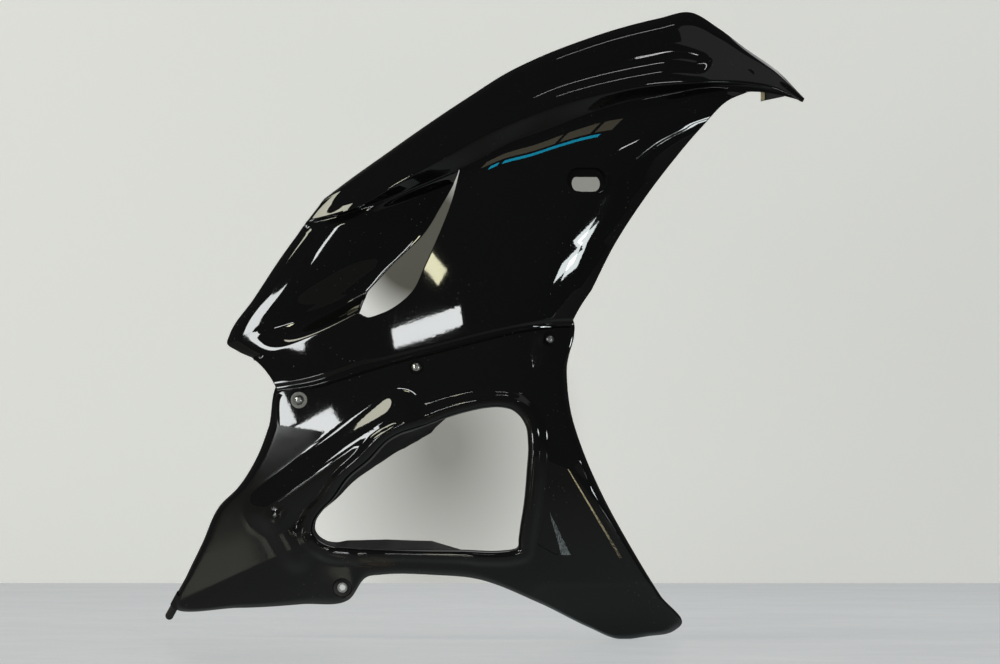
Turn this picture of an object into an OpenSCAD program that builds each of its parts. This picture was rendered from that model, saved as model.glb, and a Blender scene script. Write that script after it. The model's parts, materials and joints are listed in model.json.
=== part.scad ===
// Right-hand side cover of a faired motorcycle: an upper and a lower moulded panel screwed
// together along a lapped seam, with their fasteners, a matte inner trim and the fixings.
// X runs forward, Z up and Y inward. The origin is the mouth of the lower fixing collar.

/* [Cover] */
// Length of the cover along the machine
overall_w = 700; // [620:10:780]
// Height of the cover
overall_h = 690; // [610:10:770]
// Wall of the mouldings
wall = 3; // [2.6:0.1:3.4]

/* [Crown] */
// Fall of the top edge behind the proudest line
crown_top = 60; // [45:1:75]
// Fall of the bottom edge behind the proudest line
crown_bottom = 75; // [60:1:90]
// Fall of the front end behind the proudest line
crown_front = 55; // [40:1:70]
// Fall of the rear end behind the proudest line
crown_rear = 120; // [95:1:140]

/* [Upper panel] */
// How far the strake stands proud of the panel
strake_rise = 11; // [7:0.5:14]
// How far the strake's underside cuts in behind the panel
strake_undercut = 7; // [4:0.5:9]
// Depth of the vane at the air outlet
vane_depth = 30; // [22:1:36]
// Depth of the soft channel along the top band
channel_depth = 4; // [2:0.5:6]
// How far the front edge turns in
front_turn = 24; // [16:1:30]
// Width over which the front edge turns in
front_turn_w = 82; // [65:1:95]
// How far the top and rear edges turn in
edge_turn = 8; // [6:0.5:10]
// Step along the lower edge of the upper panel
seam_step = 1.6; // [1:0.1:2]

/* [Lower panel] */
// Height of the lap behind the upper panel
lap_h = 10; // [8:0.5:12]
// Gap between the two panels at the lap
lap_gap = 0.6; // [0.4:0.1:0.8]
// Open line between the panels at the seam
seam_gap = 1.5; // [1:0.1:2]
// Rise of the rolled frame round the window
frame_rise = 6; // [4:0.5:8]
// Width of the rolled frame round the window
frame_w = 22; // [18:1:26]
// Width of the turned-in outer edge
edge_w = 10; // [8:0.5:12]
// Return flange round the window
flange_depth = 12; // [9:0.5:14]
// Height of the long pod on the rear strut
pod_rise = 11; // [7:0.5:14]
// Half width of the long pod
pod_r = 30; // [26:1:34]

/* [Fixings] */
// Thread of the seam screws and the fixing screws
thread_d = 6; // [5:0.5:6]
// Play round a screw
screw_play = 0.3; // [0.2:0.05:0.4]
// Head of the seam screws
head_d = 11; // [10:0.5:12]
// Round seat of a seam screw
seat_d = 16; // [15:0.5:17]
// Least depth of a screw seat below the face
seat_depth = 1.5; // [1:0.1:2]
// Cup washer of the rear screw
ring_d = 18; // [17:0.5:18.5]
// Round seat of the rear screw
rear_seat_d = 20; // [19.5:0.5:21]
// Outer diameter of the lower collar
collar_d = 11; // [10.5:0.1:11.5]
// Outer diameter of the lower grommet
grommet_d = 20; // [19:0.5:21]
// Diameter of the locating peg
peg_d = 9; // [8:0.5:10]
// Free length of the locating peg
peg_free = 22; // [19:0.5:25]

/* [Inner trim] */
// Wall of the matte inner trim
trim_wall = 2; // [1.6:0.1:2.4]
// Reach of the inner trim behind the window edge
trim_depth = 34; // [28:1:40]
// Width of the inner trim's fixing ledge
trim_ledge = 18; // [16:1:20]

/* [Hidden] */
$fn = 40;

// Shares of the length and height, read forward from the peg and up from the lowest corner
top_rear_shares = [[0.249, 0.703], [0.295, 0.738], [0.341, 0.771], [0.394, 0.809],
                   [0.440, 0.841], [0.479, 0.867]];
top_front_shares = [[0.479, 0.867], [0.533, 0.902], [0.594, 0.932], [0.655, 0.956],
                    [0.711, 0.975], [0.775, 0.992], [0.824, 1.002], [0.869, 0.977],
                    [0.911, 0.945], [0.959, 0.911], [1.005, 0.864]];
lip_rear_shares = [[0.222, 0.668], [0.282, 0.682], [0.310, 0.693], [0.368, 0.727],
                   [0.408, 0.750], [0.450, 0.773]];
lip_front_shares = [[0.450, 0.773], [0.487, 0.795], [0.556, 0.827], [0.613, 0.849],
                    [0.697, 0.871], [0.773, 0.884], [0.826, 0.887], [0.901, 0.887],
                    [0.958, 0.879], [1.002, 0.859]];
crisp_rear_shares = [[0.219, 0.663], [0.282, 0.679], [0.368, 0.711], [0.423, 0.733],
                     [0.462, 0.749]];
crisp_front_shares = [[0.462, 0.749], [0.495, 0.765], [0.538, 0.789], [0.594, 0.809],
                      [0.644, 0.830], [0.712, 0.854], [0.746, 0.862], [0.792, 0.871],
                      [0.861, 0.881], [0.915, 0.874]];
rear_edge_shares = [[0.219, 0.663], [0.180, 0.609], [0.138, 0.545], [0.099, 0.487],
                    [0.095, 0.473], [0.111, 0.461], [0.137, 0.449]];
vane_edge_shares = [[0.462, 0.749], [0.458, 0.738], [0.450, 0.722], [0.431, 0.688],
                    [0.408, 0.650], [0.373, 0.614], [0.361, 0.603], [0.337, 0.577],
                    [0.312, 0.547], [0.303, 0.521]];
outlet_front_shares = [[0.462, 0.749], [0.450, 0.701], [0.431, 0.650], [0.408, 0.598],
                       [0.387, 0.555], [0.368, 0.537], [0.337, 0.520], [0.315, 0.515],
                       [0.303, 0.521]];
crease_rear_shares = [[0.137, 0.449], [0.194, 0.469], [0.251, 0.494], [0.303, 0.521]];
crease_front_shares = [[0.303, 0.521], [0.345, 0.504], [0.415, 0.518], [0.525, 0.541],
                       [0.669, 0.558]];
front_edge_shares = [[0.915, 0.874], [0.887, 0.862], [0.842, 0.817], [0.796, 0.762],
                     [0.745, 0.693], [0.705, 0.630], [0.669, 0.558]];
tail_edge_shares = [[0.137, 0.449], [0.152, 0.435], [0.165, 0.418], [0.176, 0.397]];
tail_front_shares = [[0.669, 0.558], [0.650, 0.529], [0.636, 0.502]];
tip_under_shares = [[1.002, 0.859], [0.968, 0.868], [0.938, 0.873], [0.915, 0.874]];
seam_rear_shares = [[0.176, 0.397], [0.227, 0.404], [0.309, 0.429]];
seam_front_shares = [[0.309, 0.429], [0.368, 0.447], [0.431, 0.463], [0.491, 0.479],
                     [0.541, 0.491], [0.580, 0.498], [0.613, 0.502], [0.636, 0.502]];
// Front edge as height and place pairs, for the roll that both panels share
front_line_shares = [[0.243, 0.682], [0.304, 0.655], [0.367, 0.635], [0.431, 0.629],
                     [0.501, 0.636], [0.558, 0.669], [0.630, 0.705], [0.693, 0.745],
                     [0.762, 0.796], [0.817, 0.842], [0.874, 0.915]];
// Free outer edge of the lower panel, from the rear strut round to the front leg
free_edge_shares = [[0.162, 0.343], [0.141, 0.289], [0.111, 0.242], [0.083, 0.214],
                    [0.053, 0.151], [0.028, 0.100], [0.005, 0.050], [0.110, 0.047],
                    [0.212, 0.054], [0.287, 0.063], [0.318, 0.101], [0.338, 0.104],
                    [0.424, 0.104], [0.484, 0.099], [0.587, 0.059], [0.665, 0.019],
                    [0.710, 0.000], [0.760, 0.004], [0.799, 0.012], [0.811, 0.022],
                    [0.778, 0.071], [0.731, 0.149], [0.681, 0.243], [0.655, 0.304],
                    [0.636, 0.367], [0.630, 0.431]];
// Window edge, one place for each place of the free edge and then of the seam
window_shares = [[0.321, 0.285], [0.290, 0.259], [0.263, 0.224], [0.246, 0.207],
                 [0.234, 0.189], [0.232, 0.173], [0.238, 0.162], [0.249, 0.154],
                 [0.263, 0.149], [0.282, 0.148], [0.314, 0.146], [0.346, 0.145],
                 [0.418, 0.144], [0.464, 0.144], [0.530, 0.143], [0.545, 0.145],
                 [0.551, 0.147], [0.553, 0.149], [0.554, 0.152], [0.554, 0.156],
                 [0.556, 0.176], [0.562, 0.216], [0.567, 0.272], [0.569, 0.312],
                 [0.564, 0.345], [0.553, 0.361], [0.541, 0.369], [0.533, 0.371],
                 [0.524, 0.372], [0.505, 0.371], [0.475, 0.365], [0.442, 0.355],
                 [0.412, 0.343], [0.392, 0.335], [0.371, 0.328], [0.356, 0.320]];
// How far the inner trim shows inside the window, at the same places
trim_show_shares = concat(
  [[0.009, -0.007], [0.007, -0.005], [0.003, -0.001], [0.001, 0], [0.001, 0], [0.002, 0.001],
   [0.003, 0.002], [0.004, 0.003], [0.004, 0.006], [0.002, 0.010], [0, 0.013], [0, 0.015],
   [0, 0.014]],
  [for (i = [0:18]) [0, 0]],
  [[0.012, -0.004], [0.026, -0.004], [0.026, -0.010], [0.020, -0.014]]);

// Lines where the faces turn, as shares
crest_share = 0.47;
mid_share = 0.58;
pod_shares = [[0.368, 0.359], [0.161, 0.205]];
knuckle_shares = [[0.180, 0.180], [0.205, 0.135]];
rear_fold_shares = [[0.024, 0.065], [0.212, 0.153]];
front_fold_shares = [[0.745, 0.113], [0.627, 0.280]];
foot_fold_shares = [[0.588, 0.097], [0.760, 0.097]];

// Shares of a block's length and height where its rows and columns lie
rear_column_shares = [0, 0.04, 0.1, 0.2, 0.32, 0.45, 0.58, 0.71, 0.83, 0.93, 1];
front_column_shares = [0, 0.06, 0.13, 0.2, 0.27, 0.34, 0.41, 0.48, 0.55, 0.62, 0.69, 0.76,
                       0.83, 0.89, 0.95, 1];
band_row_shares = [0, 0.09, 0.22, 0.38, 0.5, 0.62, 0.75, 0.88];
strip_row_shares = [0, 0.5];
main_row_shares = [0, 0.04, 0.1, 0.2, 0.32, 0.44, 0.56, 0.68, 0.8, 0.9, 0.95];
tail_row_shares = [0, 0.3, 0.6, 0.82, 0.92, 1];

// Rises and folds of the lower panel
knuckle_rise = 8;
knuckle_r = 24;
fold_soft = 6;
fold_slope = 0.42;
rim_turn = 3;
edge_share = 0.3;
frame_share = 0.55;
lap_drop = wall + lap_gap;
middle_rows = 5;
station_steps = 2;

// Places of the fixings
front_screw_share = [0.602, 0.480];
middle_screw_share = [0.395, 0.4355];
rear_screw_share = [0.210, 0.383];
tab_share = [0.277, 0.083];
peg_root_share = [0.019, 0.069];
peg_aim_share = [-0.004, 0.028];
pocket_share = [0.660, 0.733];
trim_boss_shares = [[0.442, 0.368], [0.2335, 0.207], [0.368, 0.1327]];
bracket_share = [0.954, 0.868];
scoop_place_share = [0.599, 0.167];
scoop_outline_shares = [[-0.003, 0.038], [-0.016, -0.013], [0.017, -0.033], [0.020, -0.020]];
probe_share = 0.004;

// Small sizes of the fixings
screw_hole_d = thread_d + screw_play;
thread_play = 0.1;
boss_wall = 2;
boss_floor = 4.8;
skin_bite = wall / 2;
crest_bite = wall * 0.7;
reach = 60;
overrun = 1;
clip_leaf = 0.8;
clip_w = 15;
clip_len = 18;
clip_barrel_d = 9;
clip_barrel_h = 5;
tongue_t = 3;
tongue_w = 24;
tongue_end = 11;
web_h = 8;
lap_clear = 1.2;
head_h = 3.4;
socket_d = 4.6;
socket_depth = 2;
shank_past = 4;
ring_t = 1.2;
ring_rim = 2;
ring_rise = 1.8;
tab_floor = 3;
tab_wall = 2;
tab_seat_play = 1.5;
grommet_lip = 2;
grommet_groove = 2.5;
collar_wall = 2.2;
collar_proud = 1.2;
collar_flange_d = 16;
collar_flange_t = 1.2;
sleeve_wall = 2;
sleeve_len = 19;
peg_neck_d = 7;
peg_drop = peg_neck_d / 2 + sleeve_wall + wall * 0.6;
rivet_d = 5;
rivet_play = 0.2;
rivet_head_d = 11;
rivet_head_h = 1.6;
rivet_grip = 8;
pad_d = 13;
trim_boss_d = 10;
trim_gap = 0.3;
pocket_l = 43;
pocket_h = 26;
pocket_depth = 7;
pocket_wall = 2.5;
lamp_hole_l = 31;
lamp_hole_h = 20;
lamp_hole_shift = 3.5;
lamp_flat = 4;
scoop_depth = wall / 2;
scoop_r = 2;
bracket_w = 26;
bracket_down = 6;
bracket_taper = 5.5;
bracket_up = 9;
arm_up = 5;
bracket_t = 2.5;
post_len = 19;
post_d = 10;
foam_t = 4;
foam_w = 4;
foam_h = 9;

function sq(a) = a * a;
function mix(a, b, t) = a + (b - a) * t;
function ease(t) = let (c = min(1, max(0, t))) c * c * (3 - 2 * c);
function fall(t) = sq(max(0, 1 - t));

// Rails: a smooth curve through a short list of places
function knots(p) =
  let (a = [for (i = 0, s = 0; i < len(p);
                 s = s + norm(p[min(i + 1, len(p) - 1)] - p[i]), i = i + 1) s])
  a / a[len(a) - 1];
function heading(p, k, i) =
  let (a = max(i - 1, 0), b = min(i + 1, len(p) - 1))
  a == i ? (p[b] - p[i]) / (k[b] - k[i]) :
  b == i ? (p[i] - p[a]) / (k[i] - k[a]) :
  ((p[b] - p[i]) / (k[b] - k[i]) * (k[i] - k[a])
    + (p[i] - p[a]) / (k[i] - k[a]) * (k[b] - k[i])) / (k[b] - k[a]);
function bend(p, k, i, s) =
  let (h = k[i + 1] - k[i])
  p[i] * (1 + 2 * s) * sq(1 - s) + heading(p, k, i) * h * s * sq(1 - s)
    + p[i + 1] * (3 - 2 * s) * sq(s) - heading(p, k, i + 1) * h * (1 - s) * sq(s);
function segment(k, t) = max([for (i = [0:len(k) - 2]) if (k[i] <= t) i]);
function along(p, k, t) =
  let (i = segment(k, t)) bend(p, k, i, (t - k[i]) / (k[i + 1] - k[i]));
function rail(p, shares) = let (k = knots(p)) [for (t = shares) along(p, k, t)];

// Plan place and depth of a share pair
function spot(s) = [s[0] * overall_w, s[1] * overall_h];
function crown(s) =
  crown_top * sq(max(0, s[1] - crest_share) / (1 - crest_share))
    + crown_bottom * sq(max(0, crest_share - s[1]) / crest_share)
    + crown_front * sq(max(0, s[0] - mid_share) / (1 - mid_share))
    + crown_rear * sq(max(0, mid_share - s[0]) / mid_share);
function front_roll(s) =
  let (gap = (lookup(s[1], front_line_shares) - s[0]) * overall_w)
  front_turn * fall(max(0, gap) / front_turn_w) * ease((s[1] - 0.24) / 0.24)
    * ease((0.87 - s[1]) / 0.14);
function from_line(s, line) =
  let (p = spot(s), a = spot(line[0]), b = spot(line[1]),
       t = min(1, max(0, (p - a) * (b - a) / ((b - a) * (b - a)))))
  norm(p - mix(a, b, t));
function past_line(s, line) =
  let (p = spot(s), a = spot(line[0]), b = spot(line[1]), d = (b - a) / norm(b - a))
  (p[0] - a[0]) * d[1] - (p[1] - a[1]) * d[0];
function swell(d, r) = sq(max(0, 1 - sq(d / r)));
function fold(s, line) = let (d = max(0, past_line(s, line))) fold_slope * d * d / (d + fold_soft);
function lower_depth(s) =
  crown(s) + front_roll(s)
    - pod_rise * swell(from_line(s, pod_shares), pod_r)
    - knuckle_rise * swell(from_line(s, knuckle_shares), knuckle_r)
    + fold(s, rear_fold_shares) * ease((0.3 - s[0]) / 0.1)
    + fold(s, front_fold_shares) * ease((0.29 - s[1]) / 0.05)
    + fold(s, foot_fold_shares) * ease((s[0] - 0.52) / 0.1);
// Slope of the lower panel's face across and up, and the fall that it makes over a radius
function slope(s) =
  [(lower_depth(s + [probe_share, 0]) - lower_depth(s - [probe_share, 0]))
     / (2 * probe_share * overall_w),
   (lower_depth(s + [0, probe_share]) - lower_depth(s - [0, probe_share]))
     / (2 * probe_share * overall_h)];
function tilt(s, r) = norm(slope(s)) * r;
tab_hole_d = grommet_d - 2 * grommet_groove;
tab_seat_d = grommet_d + tab_seat_play;
tab_seat_depth = seat_depth + tilt(tab_share, tab_seat_d / 2);
tab_depth = lower_depth(tab_share) + tab_seat_depth - grommet_lip - collar_proud;
function place(s, depth) = [(s[0] - tab_share[0]) * overall_w, depth - tab_depth,
                            (s[1] - tab_share[1]) * overall_h];

// Inward wall at a place of a grid, from its four neighbours
function inward(right, left, down, up, thick) =
  let (n = cross(right - left, down - up)) n / norm(n) * thick;

module skin(outer, inner, quads, rim) {
  n = len(outer);
  polyhedron(concat(outer, inner), concat(
    [for (q = quads) each [[q[0], q[1], q[2]], [q[0], q[2], q[3]]]],
    [for (q = quads) each [[q[2] + n, q[1] + n, q[0] + n], [q[3] + n, q[2] + n, q[0] + n]]],
    [for (e = rim) each [[e[1], e[0], e[0] + n], [e[1], e[0] + n, e[1] + n]]]));
}

// Upper panel: a block of rows and columns behind the outlet and one in front of it
nr = len(rear_column_shares) - 1;
nf = len(front_column_shares) - 1;
cols = nr + nf + 2;
row_crisp = len(band_row_shares) + len(strip_row_shares);
row_crease = row_crisp + len(main_row_shares);
last_row = row_crease + len(tail_row_shares) - 1;

function coons(top, bottom, left, right, us, vs) =
  let (m = len(top) - 1)
  [for (j = [0:len(vs) - 1]) [for (i = [0:m])
    let (u = us[i], v = vs[j])
    mix(top[i], bottom[i], v) + mix(left[j], right[j], u)
      - mix(mix(top[0], top[m], u), mix(bottom[0], bottom[m], u), v)]];

rear_fade_share = 0.3;
function strake_rear(u) = ease(u / rear_fade_share);
function strake_front(u) = 1 - 0.7 * ease((u - 0.72) / 0.28);
function channel(u, v) = channel_depth * swell(v - 0.66, 0.2) * ease((u - 0.1) / 0.2)
  * ease((0.72 - u) / 0.04);
function band_off(f, v) = edge_turn * fall(v / 0.2) - strake_rise * f * ease(v);
function strip_off(f, v) = mix(-strake_rise, strake_undercut, v) * f;
function vane_off(u, v) =
  mix(strake_undercut * strake_rear(u), vane_depth * ease((u - 0.15) / 0.85), ease(v / 0.08))
    * (1 - ease((v - 0.88) / 0.12)) + edge_turn * fall(u / 0.1) * ease(v / 0.1);
function main_off(u, v) = strake_undercut * strake_front(u) * (1 - ease(v / 0.3));
function tail_off(v) = seam_step * ease((v - 0.8) / 0.1);

u_r = rear_column_shares;
u_f = front_column_shares;
top_r = rail(top_rear_shares, u_r);
top_f = rail(top_front_shares, u_f);
lip_r = rail(lip_rear_shares, u_r);
lip_f = rail(lip_front_shares, u_f);
crisp_r = rail(crisp_rear_shares, u_r);
crisp_f = rail(crisp_front_shares, u_f);
crease_r = rail(crease_rear_shares, u_r);
crease_f = rail(crease_front_shares, u_f);
seam_r = rail(seam_rear_shares, u_r);
seam_f = rail(seam_front_shares, u_f);
function straight(a, b, vs) = [for (v = vs) mix(a, b, v)];

band_r = coons(top_r, lip_r, straight(top_r[0], lip_r[0], band_row_shares),
               straight(top_r[nr], lip_r[nr], band_row_shares), u_r, band_row_shares);
band_f = coons(top_f, lip_f, straight(top_f[0], lip_f[0], band_row_shares),
               straight(top_f[nf], lip_f[nf], band_row_shares), u_f, band_row_shares);
strip_r = coons(lip_r, crisp_r, straight(lip_r[0], crisp_r[0], strip_row_shares),
                straight(lip_r[nr], crisp_r[nr], strip_row_shares), u_r, strip_row_shares);
strip_f = coons(lip_f, crisp_f, straight(lip_f[0], crisp_f[0], strip_row_shares),
                rail(tip_under_shares, strip_row_shares), u_f, strip_row_shares);
main_r = coons(crisp_r, crease_r, rail(rear_edge_shares, main_row_shares),
               rail(vane_edge_shares, main_row_shares), u_r, main_row_shares);
main_f = coons(crisp_f, crease_f, rail(outlet_front_shares, main_row_shares),
               rail(front_edge_shares, main_row_shares), u_f, main_row_shares);
tail_r = coons(crease_r, seam_r, rail(tail_edge_shares, tail_row_shares),
               straight(crease_r[nr], seam_r[nr], tail_row_shares), u_r, tail_row_shares);
tail_f = coons(crease_f, seam_f, straight(crease_f[0], seam_f[0], tail_row_shares),
               rail(tail_front_shares, tail_row_shares), u_f, tail_row_shares);

function lift(s, off) = place(s, crown(s) + front_roll(s) + off);
upper_grid = concat(
  [for (j = [0:len(band_row_shares) - 1]) let (v = band_row_shares[j]) concat(
    [for (i = [0:nr]) lift(band_r[j][i], band_off(strake_rear(u_r[i]), v))],
    [for (i = [0:nf]) lift(band_f[j][i], band_off(strake_front(u_f[i]), v)
      + channel(u_f[i], v))])],
  [for (j = [0:len(strip_row_shares) - 1]) let (v = strip_row_shares[j]) concat(
    [for (i = [0:nr]) lift(strip_r[j][i], strip_off(strake_rear(u_r[i]), v))],
    [for (i = [0:nf]) lift(strip_f[j][i], strip_off(strake_front(u_f[i]), v))])],
  [for (j = [0:len(main_row_shares) - 1]) let (v = main_row_shares[j]) concat(
    [for (i = [0:nr]) lift(main_r[j][i], vane_off(u_r[i], v))],
    [for (i = [0:nf]) lift(main_f[j][i], main_off(u_f[i], v))])],
  [for (j = [0:len(tail_row_shares) - 1]) let (v = tail_row_shares[j]) concat(
    [for (i = [0:nr]) lift(tail_r[j][i], tail_off(v))],
    [for (i = [0:nf]) lift(tail_f[j][i], tail_off(v))])]);

function open_row(r) = r > row_crisp && r < row_crease;
function left_of(r, c) = c == nr + 1 ? (open_row(r) ? c : nr - 1) : max(0, c - 1);
function right_of(r, c) = c == nr ? (open_row(r) ? c : nr + 2) : min(cols - 1, c + 1);
function upper_id(r, c) = r * cols + (c == nr + 1 && !open_row(r) ? nr : c);
upper_outer = [for (r = [0:last_row]) each upper_grid[r]];
upper_inner = [for (r = [0:last_row]) for (c = [0:cols - 1])
  upper_grid[r][c] + inward(upper_grid[r][right_of(r, c)], upper_grid[r][left_of(r, c)],
    upper_grid[min(last_row, r + 1)][c], upper_grid[max(0, r - 1)][c], wall)];
upper_cells = [for (c = [0:cols - 2]) if (c != nr) c];
upper_quads = [for (r = [0:last_row - 1]) for (c = upper_cells)
  [upper_id(r, c), upper_id(r, c + 1), upper_id(r + 1, c + 1), upper_id(r + 1, c)]];
upper_rim = concat(
  [for (c = upper_cells) [upper_id(0, c), upper_id(0, c + 1)]],
  [for (c = upper_cells) [upper_id(last_row, c + 1), upper_id(last_row, c)]],
  [for (r = [0:last_row - 1]) [upper_id(r, cols - 1), upper_id(r + 1, cols - 1)]],
  [for (r = [0:last_row - 1]) [upper_id(r + 1, 0), upper_id(r, 0)]],
  [for (r = [row_crisp:row_crease - 1]) [upper_id(r, nr), upper_id(r + 1, nr)]],
  [for (r = [row_crisp:row_crease - 1]) [upper_id(r + 1, nr + 1), upper_id(r, nr + 1)]]);

// Lower panel: stations round the window, each a line from the outer edge to the window
seam_shares = [for (i = [len(seam_front_shares) - 1:-1:1]) seam_front_shares[i]];
seam_shares_rear = [for (i = [len(seam_rear_shares) - 1:-1:0]) seam_rear_shares[i]];
seam_edge_shares = concat(seam_shares, seam_shares_rear);
outer_shares = concat(free_edge_shares,
                      [for (s = seam_edge_shares) s - [0, seam_gap / overall_h]]);
lap_shares = concat([for (s = free_edge_shares) 0], [for (s = seam_edge_shares) 1]);
places = len(outer_shares);
stations = places * station_steps;
function round_list(p) = concat([p[len(p) - 1]], p, [p[0], p[1]]);
function loop(p) =
  let (q = round_list(p), k = knots(q))
  [for (i = [0:stations - 1])
    bend(q, k, 1 + floor(i / station_steps), (i % station_steps) / station_steps)];
outer_loop = loop(outer_shares);
window_loop = loop(window_shares);
function lap_at(i) =
  let (a = floor(i / station_steps), t = (i % station_steps) / station_steps)
  mix(lap_shares[a], lap_shares[(a + 1) % places], t);

// One station's plan places with the offset of each from the face
function station(i) =
  let (a = spot(outer_loop[i]), b = spot(window_loop[i]), l = norm(b - a), e = (b - a) / l,
       lap = lap_at(i), ew = min(edge_w, edge_share * l), fw = min(frame_w, frame_share * l),
       rise = frame_rise * fw / frame_w)
  concat(
    [[a + [0, lap_h * lap], mix(edge_turn, lap_drop, lap)],
     [a + e * mix(ew * 0.4, 0, lap), mix(edge_turn * 0.35, lap_drop, lap)],
     [a + e * mix(ew, lap_drop * 0.6, lap), 0]],
    [for (m = [1:middle_rows]) [a + e * mix(ew, l - fw, m / (middle_rows + 0.4)), 0]],
    [[b - e * fw * 0.72, -rise * 0.7],
     [b - e * fw * 0.4, -rise],
     [b - e * fw * 0.12, -rise * 0.5],
     [b, rim_turn],
     [b, rim_turn + flange_depth]]);
function share_of(p) = [p[0] / overall_w, p[1] / overall_h];
lower_grid = [for (i = [0:stations - 1])
  [for (q = station(i)) let (s = share_of(q[0])) place(s, lower_depth(s) + q[1])]];
lower_rows = len(lower_grid[0]);
function lower_id(s, r) = (s % stations) * lower_rows + r;
lower_outer = [for (s = [0:stations - 1]) each lower_grid[s]];
lower_inner = [for (s = [0:stations - 1]) for (r = [0:lower_rows - 1])
  let (g = lower_grid[s], a = lower_grid[(s + 1) % stations],
       b = lower_grid[(s + stations - 1) % stations])
  g[r] + inward(g[min(lower_rows - 1, r + 1)], g[max(0, r - 1)], a[r], b[r], wall)];
lower_quads = [for (s = [0:stations - 1]) for (r = [0:lower_rows - 2])
  [lower_id(s, r), lower_id(s, r + 1), lower_id(s + 1, r + 1), lower_id(s + 1, r)]];
lower_rim = concat(
  [for (s = [0:stations - 1]) [lower_id(s + 1, 0), lower_id(s, 0)]],
  [for (s = [0:stations - 1]) [lower_id(s, lower_rows - 1), lower_id(s + 1, lower_rows - 1)]]);

// Outward direction of the lower panel's face at a place, and of the upper one's
function outward(s) = let (g = slope(s)) [g[0], -1, g[1]] / norm([g[0], -1, g[1]]);
function lower_spot(s) = place(s, lower_depth(s));

// All that lies in front of a face, for trimming what stands behind it
module front_of(p, n, bite) {
  translate(p - n * bite)
    rotate([0, acos(n[2]), atan2(n[1], n[0])])
      translate([-reach, -reach, 0])
        cube(2 * reach);
}
module along_y(p, d, from, to) {
  translate(p + [0, from, 0])
    rotate([-90, 0, 0])
      cylinder(d = d, h = to - from);
}
module boss(s, d, back, rise, bite) {
  difference() {
    along_y(lower_spot(s), d, -reach, back);
    front_of(lower_spot(s) - [0, rise, 0], outward(s), bite);
  }
}

// Seam screws: floor of the seat, back of the boss and the stack behind it
function sink_of(s, d) = seat_depth + tilt(s, d / 2);
function back_of(s, d) = sink_of(s, d) + boss_floor + abs(slope(s)[0]) * tongue_w / 2;
function thread_end(s, d) = back_of(s, d) + 2 * clip_leaf + tongue_t + clip_barrel_h;
function seam_height(s) = lookup(s[0], concat(seam_rear_shares, seam_front_shares)) - s[1];

module seat_boss(s, d) {
  boss(s, d + 2 * boss_wall, back_of(s, d), 0, skin_bite);
}
module seat_cut(s, d) {
  along_y(lower_spot(s), d, -reach, sink_of(s, d));
  along_y(lower_spot(s), screw_hole_d, 0, back_of(s, d) + overrun);
}
module tongue(s, d) {
  p = lower_spot(s) + [0, back_of(s, d) + clip_leaf, 0];
  top = seam_height(s) * overall_h - seam_gap + lap_h + lap_clear;
  face = lower_spot(s + [0, (top + web_h / 2) / overall_h]);
  along_y(p, tongue_w, 0, tongue_t);
  translate(p - [tongue_w / 2, 0, 0])
    cube([tongue_w, tongue_t, top + web_h]);
  difference() {
    translate([p[0] - tongue_w / 2, p[1] - reach, p[2] + top])
      cube([tongue_w, reach + tongue_t, web_h]);
    front_of(face, outward(s + [0, (top + web_h / 2) / overall_h]), skin_bite);
  }
}
module clip_nut(s, d) {
  p = lower_spot(s) + [0, back_of(s, d), 0];
  rear = clip_leaf + tongue_t;
  low = tongue_w / 2 + clip_leaf;
  color([0.55, 0.55, 0.58])
    difference() {
      union() {
        translate(p - [clip_w / 2, 0, low])
          cube([clip_w, clip_leaf, clip_len]);
        translate(p + [-clip_w / 2, rear, -low])
          cube([clip_w, clip_leaf, clip_len]);
        translate(p - [clip_w / 2, 0, low])
          cube([clip_w, rear + clip_leaf, clip_leaf]);
        along_y(p, clip_barrel_d, rear, rear + clip_leaf + clip_barrel_h);
      }
      along_y(p, screw_hole_d, -overrun, rear);
      along_y(p, thread_d + thread_play, rear - overrun, rear + reach);
    }
}
module hex_socket(p, d, depth) {
  translate(p - [0, overrun, 0])
    rotate([-90, 0, 0])
      cylinder(d = d, h = depth + overrun, $fn = 6);
}
module button_screw(s, d, under) {
  p = lower_spot(s) + [0, sink_of(s, d) - under, 0];
  r = head_d / 2;
  dome_r = (r * r + head_h * head_h) / (2 * head_h);
  color([0.75, 0.75, 0.77])
    difference() {
      union() {
        intersection() {
          translate(p + [0, dome_r - head_h, 0])
            sphere(r = dome_r);
          along_y(p, head_d, -head_h - overrun, 0);
        }
        along_y(p, thread_d, 0, thread_end(s, d) - sink_of(s, d) + under + shank_past);
      }
      hex_socket(p - [0, head_h, 0], socket_d, socket_depth);
    }
}

// Lower fixing: a cup in the panel, a rubber grommet in its floor and a steel collar in that
tab_front = collar_proud + grommet_lip;
tab_back = tab_front + tab_floor + grommet_lip;
module tab_cup_cut() {
  along_y([0, 0, 0], tab_seat_d, -reach, tab_front);
  along_y([0, 0, 0], tab_hole_d, 0, tab_front + tab_floor + overrun);
  along_y([0, 0, 0], tab_seat_d, tab_front + tab_floor, reach);
}
module lower_grommet() {
  color([0.03, 0.03, 0.03])
    difference() {
      union() {
        along_y([0, 0, 0], grommet_d, collar_proud, tab_front);
        along_y([0, 0, 0], tab_hole_d, tab_front, tab_front + tab_floor);
        along_y([0, 0, 0], grommet_d, tab_front + tab_floor, tab_back);
      }
      along_y([0, 0, 0], collar_d, -overrun, reach);
    }
}
module lower_collar() {
  color([0.75, 0.75, 0.77])
    difference() {
      union() {
        along_y([0, 0, 0], collar_d, 0, tab_back);
        along_y([0, 0, 0], collar_flange_d, tab_back, tab_back + collar_flange_t);
      }
      along_y([0, 0, 0], collar_d - 2 * collar_wall, -overrun, reach);
    }
}

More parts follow.
